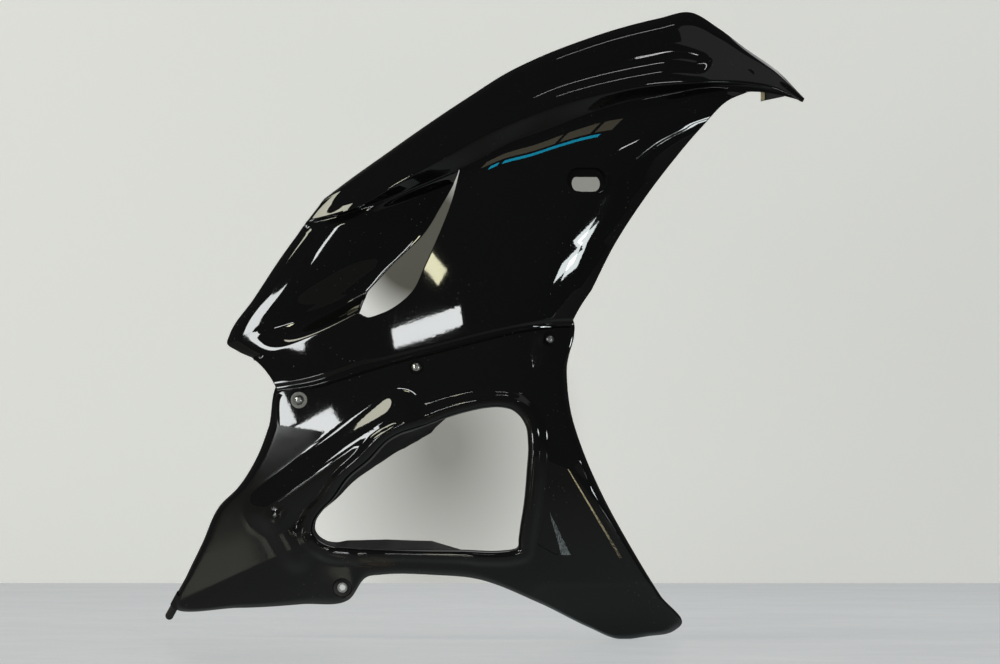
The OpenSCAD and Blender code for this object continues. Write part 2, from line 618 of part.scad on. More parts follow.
// Locating peg, pressed into a sleeve behind the rear lower corner
peg_root = lower_spot(peg_root_share) + [0, peg_drop, 0];
peg_way = lower_spot(peg_aim_share) + [0, peg_drop, 0] - peg_root;
peg_dir = peg_way / norm(peg_way);
module along_peg(d, from, to) {
  translate(peg_root + peg_dir * from)
    rotate([0, acos(peg_dir[2]), atan2(peg_dir[1], peg_dir[0])])
      cylinder(d = d, h = to - from);
}
peg_len = sleeve_len + peg_free;
module locating_peg() {
  r = peg_d / 2;
  color([0.05, 0.05, 0.05])
    translate(peg_root)
      rotate([0, acos(peg_dir[2]), atan2(peg_dir[1], peg_dir[0])])
        rotate_extrude()
          intersection() {
            union() {
              square([peg_neck_d / 2, sleeve_len]);
              translate([0, sleeve_len])
                square([r, peg_free - r]);
              translate([0, peg_len - r])
                circle(r);
            }
            square([r, peg_len]);
          }
}

// Inner trim: a ledge behind the window's flange and a wall that reaches inward from it
ledge_off = rim_turn + flange_depth + trim_gap;
show_loop = [for (i = [0:stations - 1])
  let (a = floor(i / station_steps), t = (i % station_steps) / station_steps)
  mix(trim_show_shares[a], trim_show_shares[(a + 1) % places], t)];
function trim_station(i) =
  let (a = spot(outer_loop[i]), b = spot(window_loop[i]), l = norm(b - a), e = (b - a) / l,
       w = min(trim_ledge, l * frame_share))
  [[b - e * w, ledge_off], [b - e * w / 2, ledge_off], [b, ledge_off],
   [b + spot(show_loop[i]), ledge_off + trim_depth]];
trim_grid = [for (i = [0:stations - 1])
  [for (q = trim_station(i)) place(share_of(q[0]), lower_depth(share_of(q[0])) + q[1])]];
trim_rows = len(trim_grid[0]);
function trim_id(s, r) = (s % stations) * trim_rows + r;
trim_outer = [for (s = [0:stations - 1]) each trim_grid[s]];
trim_inner = [for (s = [0:stations - 1]) for (r = [0:trim_rows - 1])
  let (g = trim_grid[s], a = trim_grid[(s + 1) % stations],
       b = trim_grid[(s + stations - 1) % stations])
  g[r] + inward(g[min(trim_rows - 1, r + 1)], g[max(0, r - 1)], a[r], b[r], trim_wall)];
trim_quads = [for (s = [0:stations - 1]) for (r = [0:trim_rows - 2])
  [trim_id(s, r), trim_id(s, r + 1), trim_id(s + 1, r + 1), trim_id(s + 1, r)]];
trim_rim = concat(
  [for (s = [0:stations - 1]) [trim_id(s + 1, 0), trim_id(s, 0)]],
  [for (s = [0:stations - 1]) [trim_id(s, trim_rows - 1), trim_id(s + 1, trim_rows - 1)]]);
function pad_front(s) = ledge_off - tilt(s, pad_d / 2);
function pad_back(s) = ledge_off + trim_wall + tilt(s, pad_d / 2);
module inner_trim() {
  color([0.07, 0.07, 0.07])
    difference() {
      union() {
        skin(trim_outer, trim_inner, trim_quads, trim_rim);
        for (s = trim_boss_shares)
          along_y(lower_spot(s), pad_d, pad_front(s), pad_back(s));
      }
      for (s = trim_boss_shares)
        along_y(lower_spot(s), rivet_d + rivet_play, 0, reach);
    }
}
module trim_rivet(s) {
  color([0.05, 0.05, 0.05]) {
    along_y(lower_spot(s), rivet_head_d, pad_back(s), pad_back(s) + rivet_head_h);
    along_y(lower_spot(s), rivet_d, pad_front(s) - rivet_grip, pad_back(s) + rivet_head_h);
  }
}

// Bracket behind the nose, on a post of the upper panel
tip_cell = [5, nr + 1 + 12];
tip_face = upper_grid[tip_cell[0]][tip_cell[1]];
tip_normal = -inward(upper_grid[tip_cell[0]][tip_cell[1] + 1],
                     upper_grid[tip_cell[0]][tip_cell[1] - 1],
                     upper_grid[tip_cell[0] + 1][tip_cell[1]],
                     upper_grid[tip_cell[0] - 1][tip_cell[1]], 1);
bracket_x = (bracket_share[0] - tab_share[0]) * overall_w;
bracket_z = (bracket_share[1] - tab_share[1]) * overall_h;
module tip_bracket() {
  color([0.06, 0.06, 0.06])
    difference() {
      union() {
        translate([bracket_x, tip_face[1] + post_len + bracket_t, bracket_z])
          rotate([90, 0, 0])
            linear_extrude(height = bracket_t)
              polygon([[-bracket_w / 2, -bracket_down], [bracket_w / 2, bracket_taper - bracket_down],
                       [bracket_w / 2, bracket_up], [-bracket_w / 2, bracket_up]]);
        translate([tip_face[0], tip_face[1] + post_len, bracket_z + arm_up])
          cube([bracket_x - tip_face[0], bracket_t, tip_face[2] - bracket_z - arm_up]);
        along_y(tip_face, pad_d, post_len, post_len + bracket_t);
      }
      along_y(tip_face, rivet_d + rivet_play, 0, reach);
    }
}
module tip_foam() {
  color([0.75, 0.68, 0.45])
    translate([bracket_x - bracket_w / 2, tip_face[1] + post_len - foam_t,
               bracket_z - bracket_down + bracket_taper * foam_w / bracket_w])
      cube([foam_w, foam_t, foam_h]);
}
module tip_rivet() {
  color([0.05, 0.05, 0.05]) {
    along_y(tip_face, rivet_head_d, post_len + bracket_t, post_len + bracket_t + rivet_head_h);
    along_y(tip_face, rivet_d, post_len - rivet_grip, post_len + bracket_t + rivet_head_h);
  }
}

// A place square to the face: the pocket of the signal lamp and the scoop by the window's foot
module on_face(s, from, to) {
  n = outward(s);
  translate(lower_spot(s))
    rotate([0, acos(n[2]), atan2(n[1], n[0])])
      translate([0, 0, from])
        linear_extrude(height = to - from)
          children();
}
module stadium(l, h) {
  for (side = [-1, 1])
    translate([0, side * (l - h) / 2])
      circle(d = h);
  square([h, l - h], center = true);
}

module scoop() {
  offset(r = scoop_r)
    offset(delta = -scoop_r)
      polygon([for (q = scoop_outline_shares) [-q[1] * overall_h, q[0] * overall_w]]);
}

module upper_panel() {
  color([0.02, 0.02, 0.025])
    difference() {
      union() {
        skin(upper_outer, upper_inner, upper_quads, upper_rim);
        tongue(front_screw_share, seat_d);
        tongue(middle_screw_share, seat_d);
        tongue(rear_screw_share, rear_seat_d);
        on_face(pocket_share, -pocket_depth - pocket_wall, -skin_bite)
          stadium(pocket_l + 2 * pocket_wall, pocket_h + 2 * pocket_wall);
        difference() {
          along_y(tip_face, post_d, -reach, post_len);
          front_of(tip_face, tip_normal, skin_bite);
        }
      }
      on_face(pocket_share, -pocket_depth, reach)
        stadium(pocket_l, pocket_h);
      on_face(pocket_share, -reach, reach)
        difference() {
          translate([lamp_hole_shift, 0])
            stadium(lamp_hole_l, lamp_hole_h);
          translate([-lamp_hole_h - lamp_flat, -lamp_hole_l / 2])
            square([lamp_hole_h, lamp_hole_l]);
        }
      along_y(lower_spot(front_screw_share), screw_hole_d, 0, reach);
      along_y(lower_spot(middle_screw_share), screw_hole_d, 0, reach);
      along_y(lower_spot(rear_screw_share), screw_hole_d, 0, reach);
      along_y(tip_face, rivet_d + rivet_play, wall + overrun, reach);
    }
}
module lower_panel() {
  color([0.03, 0.03, 0.035])
    difference() {
      union() {
        skin(lower_outer, lower_inner, lower_quads, lower_rim);
        seat_boss(front_screw_share, seat_d);
        seat_boss(middle_screw_share, seat_d);
        seat_boss(rear_screw_share, rear_seat_d);
        boss(tab_share, tab_seat_d + 2 * tab_wall, tab_seat_depth + tab_floor, 0, skin_bite);
        for (s = trim_boss_shares)
          boss(s, trim_boss_d, pad_front(s), frame_rise, crest_bite);
        along_peg(peg_neck_d + 2 * sleeve_wall, 0, sleeve_len);
      }
      seat_cut(front_screw_share, seat_d);
      seat_cut(middle_screw_share, seat_d);
      seat_cut(rear_screw_share, rear_seat_d);
      tab_cup_cut();
      along_peg(peg_neck_d, 0, reach);
      on_face(scoop_place_share, -scoop_depth, reach)
        scoop();
      for (s = trim_boss_shares)
        along_y(lower_spot(s), rivet_d + rivet_play, pad_front(s) - rivet_grip - overrun, reach);
    }
}
module front_screw() {
  button_screw(front_screw_share, seat_d, 0);
}
module middle_screw() {
  button_screw(middle_screw_share, seat_d, 0);
}
module rear_screw() {
  button_screw(rear_screw_share, rear_seat_d, ring_t);
}
module rear_ring() {
  p = lower_spot(rear_screw_share) + [0, sink_of(rear_screw_share, rear_seat_d), 0];
  color([0.35, 0.35, 0.37])
    difference() {
      along_y(p, ring_d, -ring_t - ring_rise, 0);
      along_y(p, ring_d - 2 * ring_rim, -reach, -ring_t);
      along_y(p, screw_hole_d, -reach, reach);
    }
}
module front_clip_nut() {
  clip_nut(front_screw_share, seat_d);
}
module middle_clip_nut() {
  clip_nut(middle_screw_share, seat_d);
}
module rear_clip_nut() {
  clip_nut(rear_screw_share, rear_seat_d);
}
module trim_rivet_top() {
  trim_rivet(trim_boss_shares[0]);
}
module trim_rivet_rear() {
  trim_rivet(trim_boss_shares[1]);
}
module trim_rivet_bottom() {
  trim_rivet(trim_boss_shares[2]);
}

upper_panel();
lower_panel();
inner_trim();
tip_bracket();
tip_foam();
front_screw();
middle_screw();
rear_screw();
rear_ring();
front_clip_nut();
middle_clip_nut();
rear_clip_nut();
lower_grommet();
lower_collar();
locating_peg();
trim_rivet_top();
trim_rivet_rear();
trim_rivet_bottom();
tip_rivet();
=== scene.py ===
# %% [markdown]
# Right-hand side cover of a faired motorcycle, seen on its own against a white wall. The real one
# is an upper and a lower shell, moulded in 3 mm black plastic with a high gloss and screwed
# together along a lapped seam. A matte trim lines the engine window from behind.
# A thin sheet could be modelled by hand as a subdivision surface. Here each face is worked out as
# a grid between smooth edge curves instead, because the solids of the part were made that way:
# the same few curves give the same shape, only with many more rows.

# %% tools and the frame
import json
import math

import bpy
import numpy as np
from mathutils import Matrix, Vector

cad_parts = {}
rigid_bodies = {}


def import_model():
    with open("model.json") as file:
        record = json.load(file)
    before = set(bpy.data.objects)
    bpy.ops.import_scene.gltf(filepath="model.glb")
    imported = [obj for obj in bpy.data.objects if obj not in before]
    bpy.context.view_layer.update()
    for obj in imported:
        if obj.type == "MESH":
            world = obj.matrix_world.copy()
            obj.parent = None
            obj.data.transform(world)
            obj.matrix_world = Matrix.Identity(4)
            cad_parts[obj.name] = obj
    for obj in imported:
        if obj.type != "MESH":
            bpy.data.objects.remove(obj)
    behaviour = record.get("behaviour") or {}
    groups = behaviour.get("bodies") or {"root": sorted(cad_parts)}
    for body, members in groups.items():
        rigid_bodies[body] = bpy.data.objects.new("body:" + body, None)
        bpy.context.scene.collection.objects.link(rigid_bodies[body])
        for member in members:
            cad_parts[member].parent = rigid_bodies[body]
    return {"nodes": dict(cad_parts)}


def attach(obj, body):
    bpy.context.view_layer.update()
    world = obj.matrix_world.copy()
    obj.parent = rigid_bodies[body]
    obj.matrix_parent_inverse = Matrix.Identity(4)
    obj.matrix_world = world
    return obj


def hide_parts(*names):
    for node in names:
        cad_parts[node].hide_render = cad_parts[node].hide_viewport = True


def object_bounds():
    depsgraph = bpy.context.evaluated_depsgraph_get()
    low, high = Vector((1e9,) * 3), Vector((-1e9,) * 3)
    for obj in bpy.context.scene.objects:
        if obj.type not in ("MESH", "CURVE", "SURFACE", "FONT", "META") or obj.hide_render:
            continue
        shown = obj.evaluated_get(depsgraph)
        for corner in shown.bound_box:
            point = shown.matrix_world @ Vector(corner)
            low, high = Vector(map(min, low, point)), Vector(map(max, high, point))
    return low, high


for thing in list(bpy.data.objects):
    bpy.data.objects.remove(thing)
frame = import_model()
cad_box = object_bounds()
print("cover in the frame, metres:", cad_box)

# %% [markdown]
# The outline of a moulding is a set of long smooth curves that meet at corners. Each is kept here
# as a short list of places, as shares of the cover's length W and height H in millimetres, read
# forward from the peg and up from the lowest corner. Bezier objects could hold them too, but
# a plain list is easy to bend into a surface.

# %% edge curves of the two shells
W, H = 700, 690
top_rear = [(0.249, 0.703), (0.295, 0.738), (0.341, 0.771), (0.394, 0.809), (0.44, 0.841),
    (0.479, 0.867)]
top_front = [(0.479, 0.867), (0.533, 0.902), (0.594, 0.932), (0.655, 0.956), (0.711, 0.975),
    (0.775, 0.992), (0.824, 1.002), (0.869, 0.977), (0.911, 0.945), (0.959, 0.911),
    (1.005, 0.864)]
lip_rear = [(0.222, 0.668), (0.282, 0.682), (0.31, 0.693), (0.368, 0.727), (0.408, 0.75),
    (0.45, 0.773)]
lip_front = [(0.45, 0.773), (0.487, 0.795), (0.556, 0.827), (0.613, 0.849), (0.697, 0.871),
    (0.773, 0.884), (0.826, 0.887), (0.901, 0.887), (0.958, 0.879), (1.002, 0.859)]
crisp_rear = [(0.219, 0.663), (0.282, 0.679), (0.368, 0.711), (0.423, 0.733), (0.462, 0.749)]
crisp_front = [(0.462, 0.749), (0.495, 0.765), (0.538, 0.789), (0.594, 0.809), (0.644, 0.83),
    (0.712, 0.854), (0.746, 0.862), (0.792, 0.871), (0.861, 0.881), (0.915, 0.874)]
rear_edge = [(0.219, 0.663), (0.18, 0.609), (0.138, 0.545), (0.099, 0.487), (0.095, 0.473),
    (0.111, 0.461), (0.137, 0.449)]
vane_edge = [(0.462, 0.749), (0.458, 0.738), (0.45, 0.722), (0.431, 0.688), (0.408, 0.65),
    (0.373, 0.614), (0.361, 0.603), (0.337, 0.577), (0.312, 0.547), (0.303, 0.521)]
outlet_front = [(0.462, 0.749), (0.45, 0.701), (0.431, 0.65), (0.408, 0.598), (0.387, 0.555),
    (0.368, 0.537), (0.337, 0.52), (0.315, 0.515), (0.303, 0.521)]
crease_rear = [(0.137, 0.449), (0.194, 0.469), (0.251, 0.494), (0.303, 0.521)]
crease_front = [(0.303, 0.521), (0.345, 0.504), (0.415, 0.518), (0.525, 0.541), (0.669, 0.558)]
front_edge = [(0.915, 0.874), (0.887, 0.862), (0.842, 0.817), (0.796, 0.762), (0.745, 0.693),
    (0.705, 0.63), (0.669, 0.558)]
tail_edge = [(0.137, 0.449), (0.152, 0.435), (0.165, 0.418), (0.176, 0.397)]
tail_front = [(0.669, 0.558), (0.65, 0.529), (0.636, 0.502)]
tip_under = [(1.002, 0.859), (0.968, 0.868), (0.938, 0.873), (0.915, 0.874)]
seam_rear = [(0.176, 0.397), (0.227, 0.404), (0.309, 0.429)]
seam_front = [(0.309, 0.429), (0.368, 0.447), (0.431, 0.463), (0.491, 0.479), (0.541, 0.491),
    (0.58, 0.498), (0.613, 0.502), (0.636, 0.502)]
front_line = [(0.243, 0.682), (0.304, 0.655), (0.367, 0.635), (0.431, 0.629), (0.501, 0.636),
    (0.558, 0.669), (0.63, 0.705), (0.693, 0.745), (0.762, 0.796), (0.817, 0.842), (0.874, 0.915)]
free_edge = [(0.162, 0.343), (0.141, 0.289), (0.111, 0.242), (0.083, 0.214), (0.053, 0.151),
    (0.028, 0.1), (0.005, 0.05), (0.11, 0.047), (0.212, 0.054), (0.287, 0.063), (0.318, 0.101),
    (0.338, 0.104), (0.424, 0.104), (0.484, 0.099), (0.587, 0.059), (0.665, 0.019), (0.71, 0),
    (0.76, 0.004), (0.799, 0.012), (0.811, 0.022), (0.778, 0.071), (0.731, 0.149), (0.681, 0.243),
    (0.655, 0.304), (0.636, 0.367), (0.63, 0.431)]
window = [(0.321, 0.285), (0.29, 0.259), (0.263, 0.224), (0.246, 0.207), (0.234, 0.189),
    (0.232, 0.173), (0.238, 0.162), (0.249, 0.154), (0.263, 0.149), (0.282, 0.148),
    (0.314, 0.146), (0.346, 0.145), (0.418, 0.144), (0.464, 0.144), (0.53, 0.143), (0.545, 0.145),
    (0.551, 0.147), (0.553, 0.149), (0.554, 0.152), (0.554, 0.156), (0.556, 0.176),
    (0.562, 0.216), (0.567, 0.272), (0.569, 0.312), (0.564, 0.345), (0.553, 0.361),
    (0.541, 0.369), (0.533, 0.371), (0.524, 0.372), (0.505, 0.371), (0.475, 0.365),
    (0.442, 0.355), (0.412, 0.343), (0.392, 0.335), (0.371, 0.328), (0.356, 0.32)]
print("edge places:", sum(map(len, (top_front, crisp_front, front_edge, free_edge, window))))

# %% [markdown]
# A curve through a few places has to be smooth and must not swing out between them. A spline that
# counts along its chords does that: each place gets a heading from its two neighbours, and cubic
# pieces join them. A Bezier curve with automatic handles is close to it, but slower to sample.

# %% smooth rails through the places
def knots(places):
    steps = np.linalg.norm(np.diff(places, axis=0), axis=1)
    along = np.concatenate([[0], np.cumsum(steps)])
    return along / along[-1]


def headings(p, k):
    gap = np.diff(k)[:, None]
    way = np.diff(p, axis=0) / gap
    inner = (way[1:] * gap[:-1] + way[:-1] * gap[1:]) / (gap[1:] + gap[:-1])
    return np.vstack([way[:1], inner, way[-1:]])


def bend(p, k, i, s):
    h, m, s = (k[i + 1] - k[i])[..., None], headings(p, k), s[..., None]
    return (p[i] * (1 + 2 * s) * (1 - s) ** 2 + m[i] * h * s * (1 - s) ** 2
            + p[i + 1] * (3 - 2 * s) * s ** 2 - m[i + 1] * h * (1 - s) * s ** 2)


def rail(places, t):
    p, t = np.array(places, float), np.asarray(t, float)
    k = knots(p)
    i = np.clip(np.searchsorted(k, t, side="right") - 1, 0, len(k) - 2)
    return bend(p, k, i, (t - k[i]) / (k[i + 1] - k[i]))


def closed_rail(places, steps):
    p = np.array(places, float)
    q = np.vstack([p[-1:], p, p[:2]])
    n = np.arange(len(p) * steps)
    return bend(q, knots(q), 1 + n // steps, (n % steps) / steps)


def graded(marks, counts):
    parts = [np.linspace(a, b, n, endpoint=False) for a, b, n in zip(marks, marks[1:], counts)]
    return np.concatenate(parts + [[marks[-1]]])


print("crown line of the nose:", rail(top_front, [0, 0.5, 1]).round(3).tolist())

# %% [markdown]
# Four little functions shape nearly everything that follows: a soft step from 0 to 1, a curve
# that falls away from an edge, a swell round a middle and a plain mixture of two values.
# Proportional editing does the same by hand; as functions they give the same shape in every run.

# %% soft steps, falls and swells
def ease(t):
    t = np.clip(t, 0, 1)
    return t * t * (3 - 2 * t)


def fall(t):
    return np.maximum(0, 1 - t) ** 2


def swell(d, r):
    return np.maximum(0, 1 - (d / r) ** 2) ** 2


def mix(a, b, t):
    return a + (b - a) * t


print("soft step at a quarter and at half:", float(ease(0.25)), float(ease(0.5)))

# %% [markdown]
# Seen from the front the cover bulges: it is proudest at the middle and falls back to every edge.
# The lower shell adds a long pod on its rear strut, a knuckle below it and three soft folds.
# One function of place gives this depth, so the pieces that sit on the face can ask for it too.

# %% depth of the face, in millimetres
PROUD_X, PROUD_Z = 0.58, 0.47
BACK_AT_TOP, BACK_AT_FOOT, BACK_AT_NOSE, BACK_AT_TAIL = 60, 75, 55, 120
ROLL_BACK, ROLL_REACH = 24, 82
FOLD_SLOPE, FOLD_SOFT = 0.42, 6
POD_LINE, POD_PROUD, POD_HALF = ((0.368, 0.359), (0.161, 0.205)), 11, 30
KNUCKLE_LINE, KNUCKLE_PROUD, KNUCKLE_HALF = ((0.180, 0.180), (0.205, 0.135)), 8, 24
TAIL_FOLD, LEG_FOLD = ((0.024, 0.065), (0.212, 0.153)), ((0.745, 0.113), (0.627, 0.280))
FOOT_FOLD = ((0.588, 0.097), (0.760, 0.097))


def crown(s):
    x, z = s[..., 0] - PROUD_X, s[..., 1] - PROUD_Z
    return (BACK_AT_TOP * (np.maximum(0, z) / (1 - PROUD_Z)) ** 2
            + BACK_AT_FOOT * (np.maximum(0, -z) / PROUD_Z) ** 2
            + BACK_AT_NOSE * (np.maximum(0, x) / (1 - PROUD_X)) ** 2
            + BACK_AT_TAIL * (np.maximum(0, -x) / PROUD_X) ** 2)


def front_roll(s):
    heights, places = zip(*front_line)
    gap = (np.interp(s[..., 1], heights, places) - s[..., 0]) * W
    z = s[..., 1]
    return (ROLL_BACK * fall(np.maximum(0, gap) / ROLL_REACH) * ease((z - 0.24) / 0.24)
            * ease((0.87 - z) / 0.14))


def from_line(s, a, b):
    p, a, b = s * [W, H], np.multiply(a, [W, H]), np.multiply(b, [W, H])
    t = np.clip((p - a) @ (b - a) / ((b - a) @ (b - a)), 0, 1)
    return np.linalg.norm(p - a - t[..., None] * (b - a), axis=-1)


def fold(s, a, b):
    p, a, b = s * [W, H], np.multiply(a, [W, H]), np.multiply(b, [W, H])
    d = (b - a) / np.linalg.norm(b - a)
    past = np.maximum(0, (p[..., 0] - a[0]) * d[1] - (p[..., 1] - a[1]) * d[0])
    return FOLD_SLOPE * past ** 2 / (past + FOLD_SOFT)


def lower_depth(s):
    x, z = s[..., 0], s[..., 1]
    return (crown(s) + front_roll(s)
            - POD_PROUD * swell(from_line(s, *POD_LINE), POD_HALF)
            - KNUCKLE_PROUD * swell(from_line(s, *KNUCKLE_LINE), KNUCKLE_HALF)
            + fold(s, *TAIL_FOLD) * ease((0.3 - x) / 0.1)
            + fold(s, *LEG_FOLD) * ease((0.29 - z) / 0.05)
            + fold(s, *FOOT_FOLD) * ease((x - 0.52) / 0.1))


print("knuckle of the tail lies back, mm:",
      float(lower_depth(np.array(KNUCKLE_LINE[0])).round(1)))

# %% [markdown]
# The frame's origin is the rubber bushed hole at the bottom edge. Everything is measured from it,
# so the shares are turned into millimetres here, and the depth is counted from the front of the
# steel collar in that hole. How steeply the face leans there says how deep its round seat sinks.

# %% from shares to places in the frame
SEAT_DEPTH, TAB_SEAT_D, TAB_FLOOR, GROMMET_LIP, COLLAR_PROUD = 1.5, 21.5, 3, 2, 1.2
TAB = np.array([0.277, 0.083])


def slope(s):
    e = 0.004
    s = np.array(s, float)
    dx, dz = np.array([e, 0]), np.array([0, e])
    return np.array([(lower_depth(s + dx) - lower_depth(s - dx)) / (2 * e * W),
                     (lower_depth(s + dz) - lower_depth(s - dz)) / (2 * e * H)])


def tilt(s, r):
    return np.linalg.norm(slope(s)) * r


TAB_FRONT = COLLAR_PROUD + GROMMET_LIP
TAB_DEPTH = (lower_depth(TAB) + SEAT_DEPTH + tilt(TAB, TAB_SEAT_D / 2)
             - GROMMET_LIP - COLLAR_PROUD)


def place(s, depth):
    return np.stack([(s[..., 0] - TAB[0]) * W, depth - TAB_DEPTH, (s[..., 1] - TAB[1]) * H], -1)


def spot(s):
    s = np.array(s, float)
    return place(s, lower_depth(s))


def face_y(x, z):
    return lower_depth(np.stack([x / W + TAB[0], z / H + TAB[1]], -1)) - TAB_DEPTH


print("deepest place of the lower fixing, mm:", float(TAB_DEPTH))

# %% [markdown]
# A moulding has one wall all over and no sharp rims: its free edges are rounded by the tool.
# A Solidify modifier could thicken the sheet, but it leaves square edges. So the sheet is given
# its back and a rounded rim here, from the normals of its own faces.

# %% normals of a sheet
WALL, ROUND = 3, 0.9


def sheet_normals(points, quads):
    a, b, c, d = (points[quads[:, i]] for i in range(4))
    face = np.cross(c - a, d - b)
    total = np.zeros_like(points)
    for i in range(4):
        np.add.at(total, quads[:, i], face)
    return total / np.linalg.norm(total, axis=1, keepdims=True)


trial = (np.array([(0, 0, 0), (10, 0, 0), (10, 0, 10), (0, 0, 10)], float),
         np.array([[0, 1, 2, 3]]))
print("a trial face looks along", sheet_normals(*trial)[0].tolist())

# %% [markdown]
# The rim is found as the edges that only one face uses. Its points move in by the radius, and
# four extra rows between front and back make the round, as a Bevel modifier would on the rim alone.

# %% a sheet with a wall and a round rim
def shell(points, quads, wall, soft):
    used, quads = np.unique(quads, return_inverse=True)
    points, quads = points[used], quads.reshape(-1, 4)
    n, deep = len(points), sheet_normals(points, quads)
    edges = np.vstack([quads[:, [i, (i + 1) % 4]] for i in range(4)])
    key = edges[:, 0] * n + edges[:, 1]
    rim = edges[~np.isin(key, edges[:, 1] * n + edges[:, 0])]
    out = np.zeros_like(points)
    side = np.cross(points[rim[:, 1]] - points[rim[:, 0]], deep[rim[:, 0]] + deep[rim[:, 1]])
    side /= np.linalg.norm(side, axis=1, keepdims=True)
    for i in (0, 1):
        np.add.at(out, rim[:, i], side)
    length = np.linalg.norm(out, axis=1, keepdims=True)
    out = np.divide(out, length, out=out, where=length > 0)
    ring = np.unique(rim)
    where = np.full(n, -1)
    where[ring] = np.arange(len(ring))
    m = len(ring)
    layers = [points - out * soft, points + deep * wall - out * soft]
    for depth, back in ((0.15 * soft, 0.38), (0.6 * soft, 0.08), (wall - 0.6 * soft, 0.08),
                        (wall - 0.15 * soft, 0.38)):
        layers.append(points[ring] + deep[ring] * depth - out[ring] * soft * back)
    a, b = where[rim[:, 0]], where[rim[:, 1]]
    steps = [(rim[:, 0], rim[:, 1])] + [(2 * n + i * m + a, 2 * n + i * m + b) for i in range(4)]
    steps.append((n + rim[:, 0], n + rim[:, 1]))
    faces = [quads[:, ::-1], quads + n]
    faces += [np.stack([p[0], p[1], q[1], q[0]], 1) for p, q in zip(steps, steps[1:])]
    return np.vstack(layers), np.vstack(faces)


def solid(name, points, faces):
    mesh = bpy.data.meshes.new(name)
    mesh.from_pydata((np.asarray(points) * 0.001).tolist(), [],
                     [list(map(int, f)) for f in faces])
    mesh.update()
    piece = bpy.data.objects.new(name, mesh)
    bpy.context.scene.collection.objects.link(piece)
    return piece


print("a trial face with its wall and rim:", len(shell(*trial, WALL, ROUND)[1]), "faces")

# %% [markdown]
# The upper shell is a long leaf. Below its top band a sharp strake runs forward to the nose, and
# behind the main face a deep vane opens the air outlet. Four strips of grid follow one another
# downwards: band, strake, main face and tail. Each has a rear and a front block, which part only
# along the outlet.

# %% plan of one block, between its four edges
def coons(top, bottom, left, right, us, vs):
    u, v = us[None, :, None], vs[:, None, None]
    ends = mix(mix(top[0], top[-1], u), mix(bottom[0], bottom[-1], u), v)
    return mix(top[None], bottom[None], v) + mix(left[:, None], right[:, None], u) - ends


def straight(a, b, vs):
    return mix(a, b, vs[:, None])


print("a straight side in three steps:", straight(0.0, 6.0, np.linspace(0, 1, 3)).ravel().tolist())

# %% [markdown]
# Each strip stands off the crowned face by its own amount: the band rises to the strake, the strip
# under it cuts back sharply, the vane dives into the outlet and the tail steps over the seam.
# u runs forward along a strip and v down it, both from 0 to 1.

# %% how far each strip stands off the crowned face
EDGE_TURN, STRAKE_PROUD, STRAKE_UNDER, CHANNEL_DEEP, VANE_DEEP, TAIL_STEP = 8, 11, 7, 4, 30, 1.6


def strake_rear(u):
    return ease(u / 0.3)


def strake_front(u):
    return 1 - 0.7 * ease((u - 0.72) / 0.28)


def channel(u, v):
    return (CHANNEL_DEEP * swell(v - 0.66, 0.2) * ease((u - 0.1) / 0.2)
            * ease((0.72 - u) / 0.04))


def band_off(f, v):
    return EDGE_TURN * fall(v / 0.2) - STRAKE_PROUD * f * ease(v)


def strip_off(f, v):
    return mix(-STRAKE_PROUD, STRAKE_UNDER, v) * f


def vane_off(u, v):
    dive = VANE_DEEP * ease((u - 0.15) / 0.85)
    return (mix(STRAKE_UNDER * strake_rear(u), dive, ease(v / 0.08))
            * (1 - ease((v - 0.88) / 0.12)) + EDGE_TURN * fall(u / 0.1) * ease(v / 0.1))


def main_off(u, v):
    return STRAKE_UNDER * strake_front(u) * (1 - ease(v / 0.3))


def tail_off(v):
    return TAIL_STEP * ease((v - 0.8) / 0.1)


def lift(s, off):
    return place(s, crown(s) + front_roll(s) + off)


print("vane at its deepest, mm:", float(vane_off(1.0, 0.5)))

# %% [markdown]
# Rows and columns crowd where the shape turns quickly, at the edges, the strake and the seam, and
# are wide apart on the calm faces, so the reflections run smoothly with few points.

# %% the four strips, rear and front
u_r = graded([0, 0.1, 1], [8, 54])
u_f = graded([0, 0.94, 1], [122, 10])
v_band = graded([0, 0.06, 0.2, 0.985, 1], [4, 6, 18, 1])
v_strip = graded([0, 0.07, 0.93, 1], [1, 6, 1])
v_main = graded([0, 0.006, 0.1, 0.88, 0.994, 1], [1, 8, 54, 9, 1])
v_tail = graded([0, 0.016, 0.8, 0.9, 1], [1, 16, 8, 4])
blocks = {"r": [], "f": []}
for key, us, top, lip, crisp, crease, seam, strake in (
        ("r", u_r, top_rear, lip_rear, crisp_rear, crease_rear, seam_rear, strake_rear),
        ("f", u_f, top_front, lip_front, crisp_front, crease_front, seam_front, strake_front)):
    front = key == "f"
    top, lip, crisp, crease, seam = (rail(p, us) for p in (top, lip, crisp, crease, seam))
    f, u = strake(us)[None], us[None]
    v = v_band[:, None]
    plan = coons(top, lip, straight(top[0], lip[0], v_band), straight(top[-1], lip[-1], v_band),
                 us, v_band)
    blocks[key].append(lift(plan, band_off(f, v) + (channel(u, v) if front else 0)))
    v = v_strip[:, None]
    right = rail(tip_under, v_strip) if front else straight(lip[-1], crisp[-1], v_strip)
    plan = coons(lip, crisp, straight(lip[0], crisp[0], v_strip), right, us, v_strip)
    blocks[key].append(lift(plan, strip_off(f, v)))
    v = v_main[:, None]
    left, right = (outlet_front, front_edge) if front else (rear_edge, vane_edge)
    plan = coons(crisp, crease, rail(left, v_main), rail(right, v_main), us, v_main)
    blocks[key].append(lift(plan, main_off(u, v) if front else vane_off(u, v)))
    v = v_tail[:, None]
    left, right = ((straight(crease[0], seam[0], v_tail), rail(tail_front, v_tail)) if front else
                   (rail(tail_edge, v_tail), straight(crease[-1], seam[-1], v_tail)))
    plan = coons(crease, seam, left, right, us, v_tail)
    blocks[key].append(lift(plan, tail_off(v) + 0 * u))
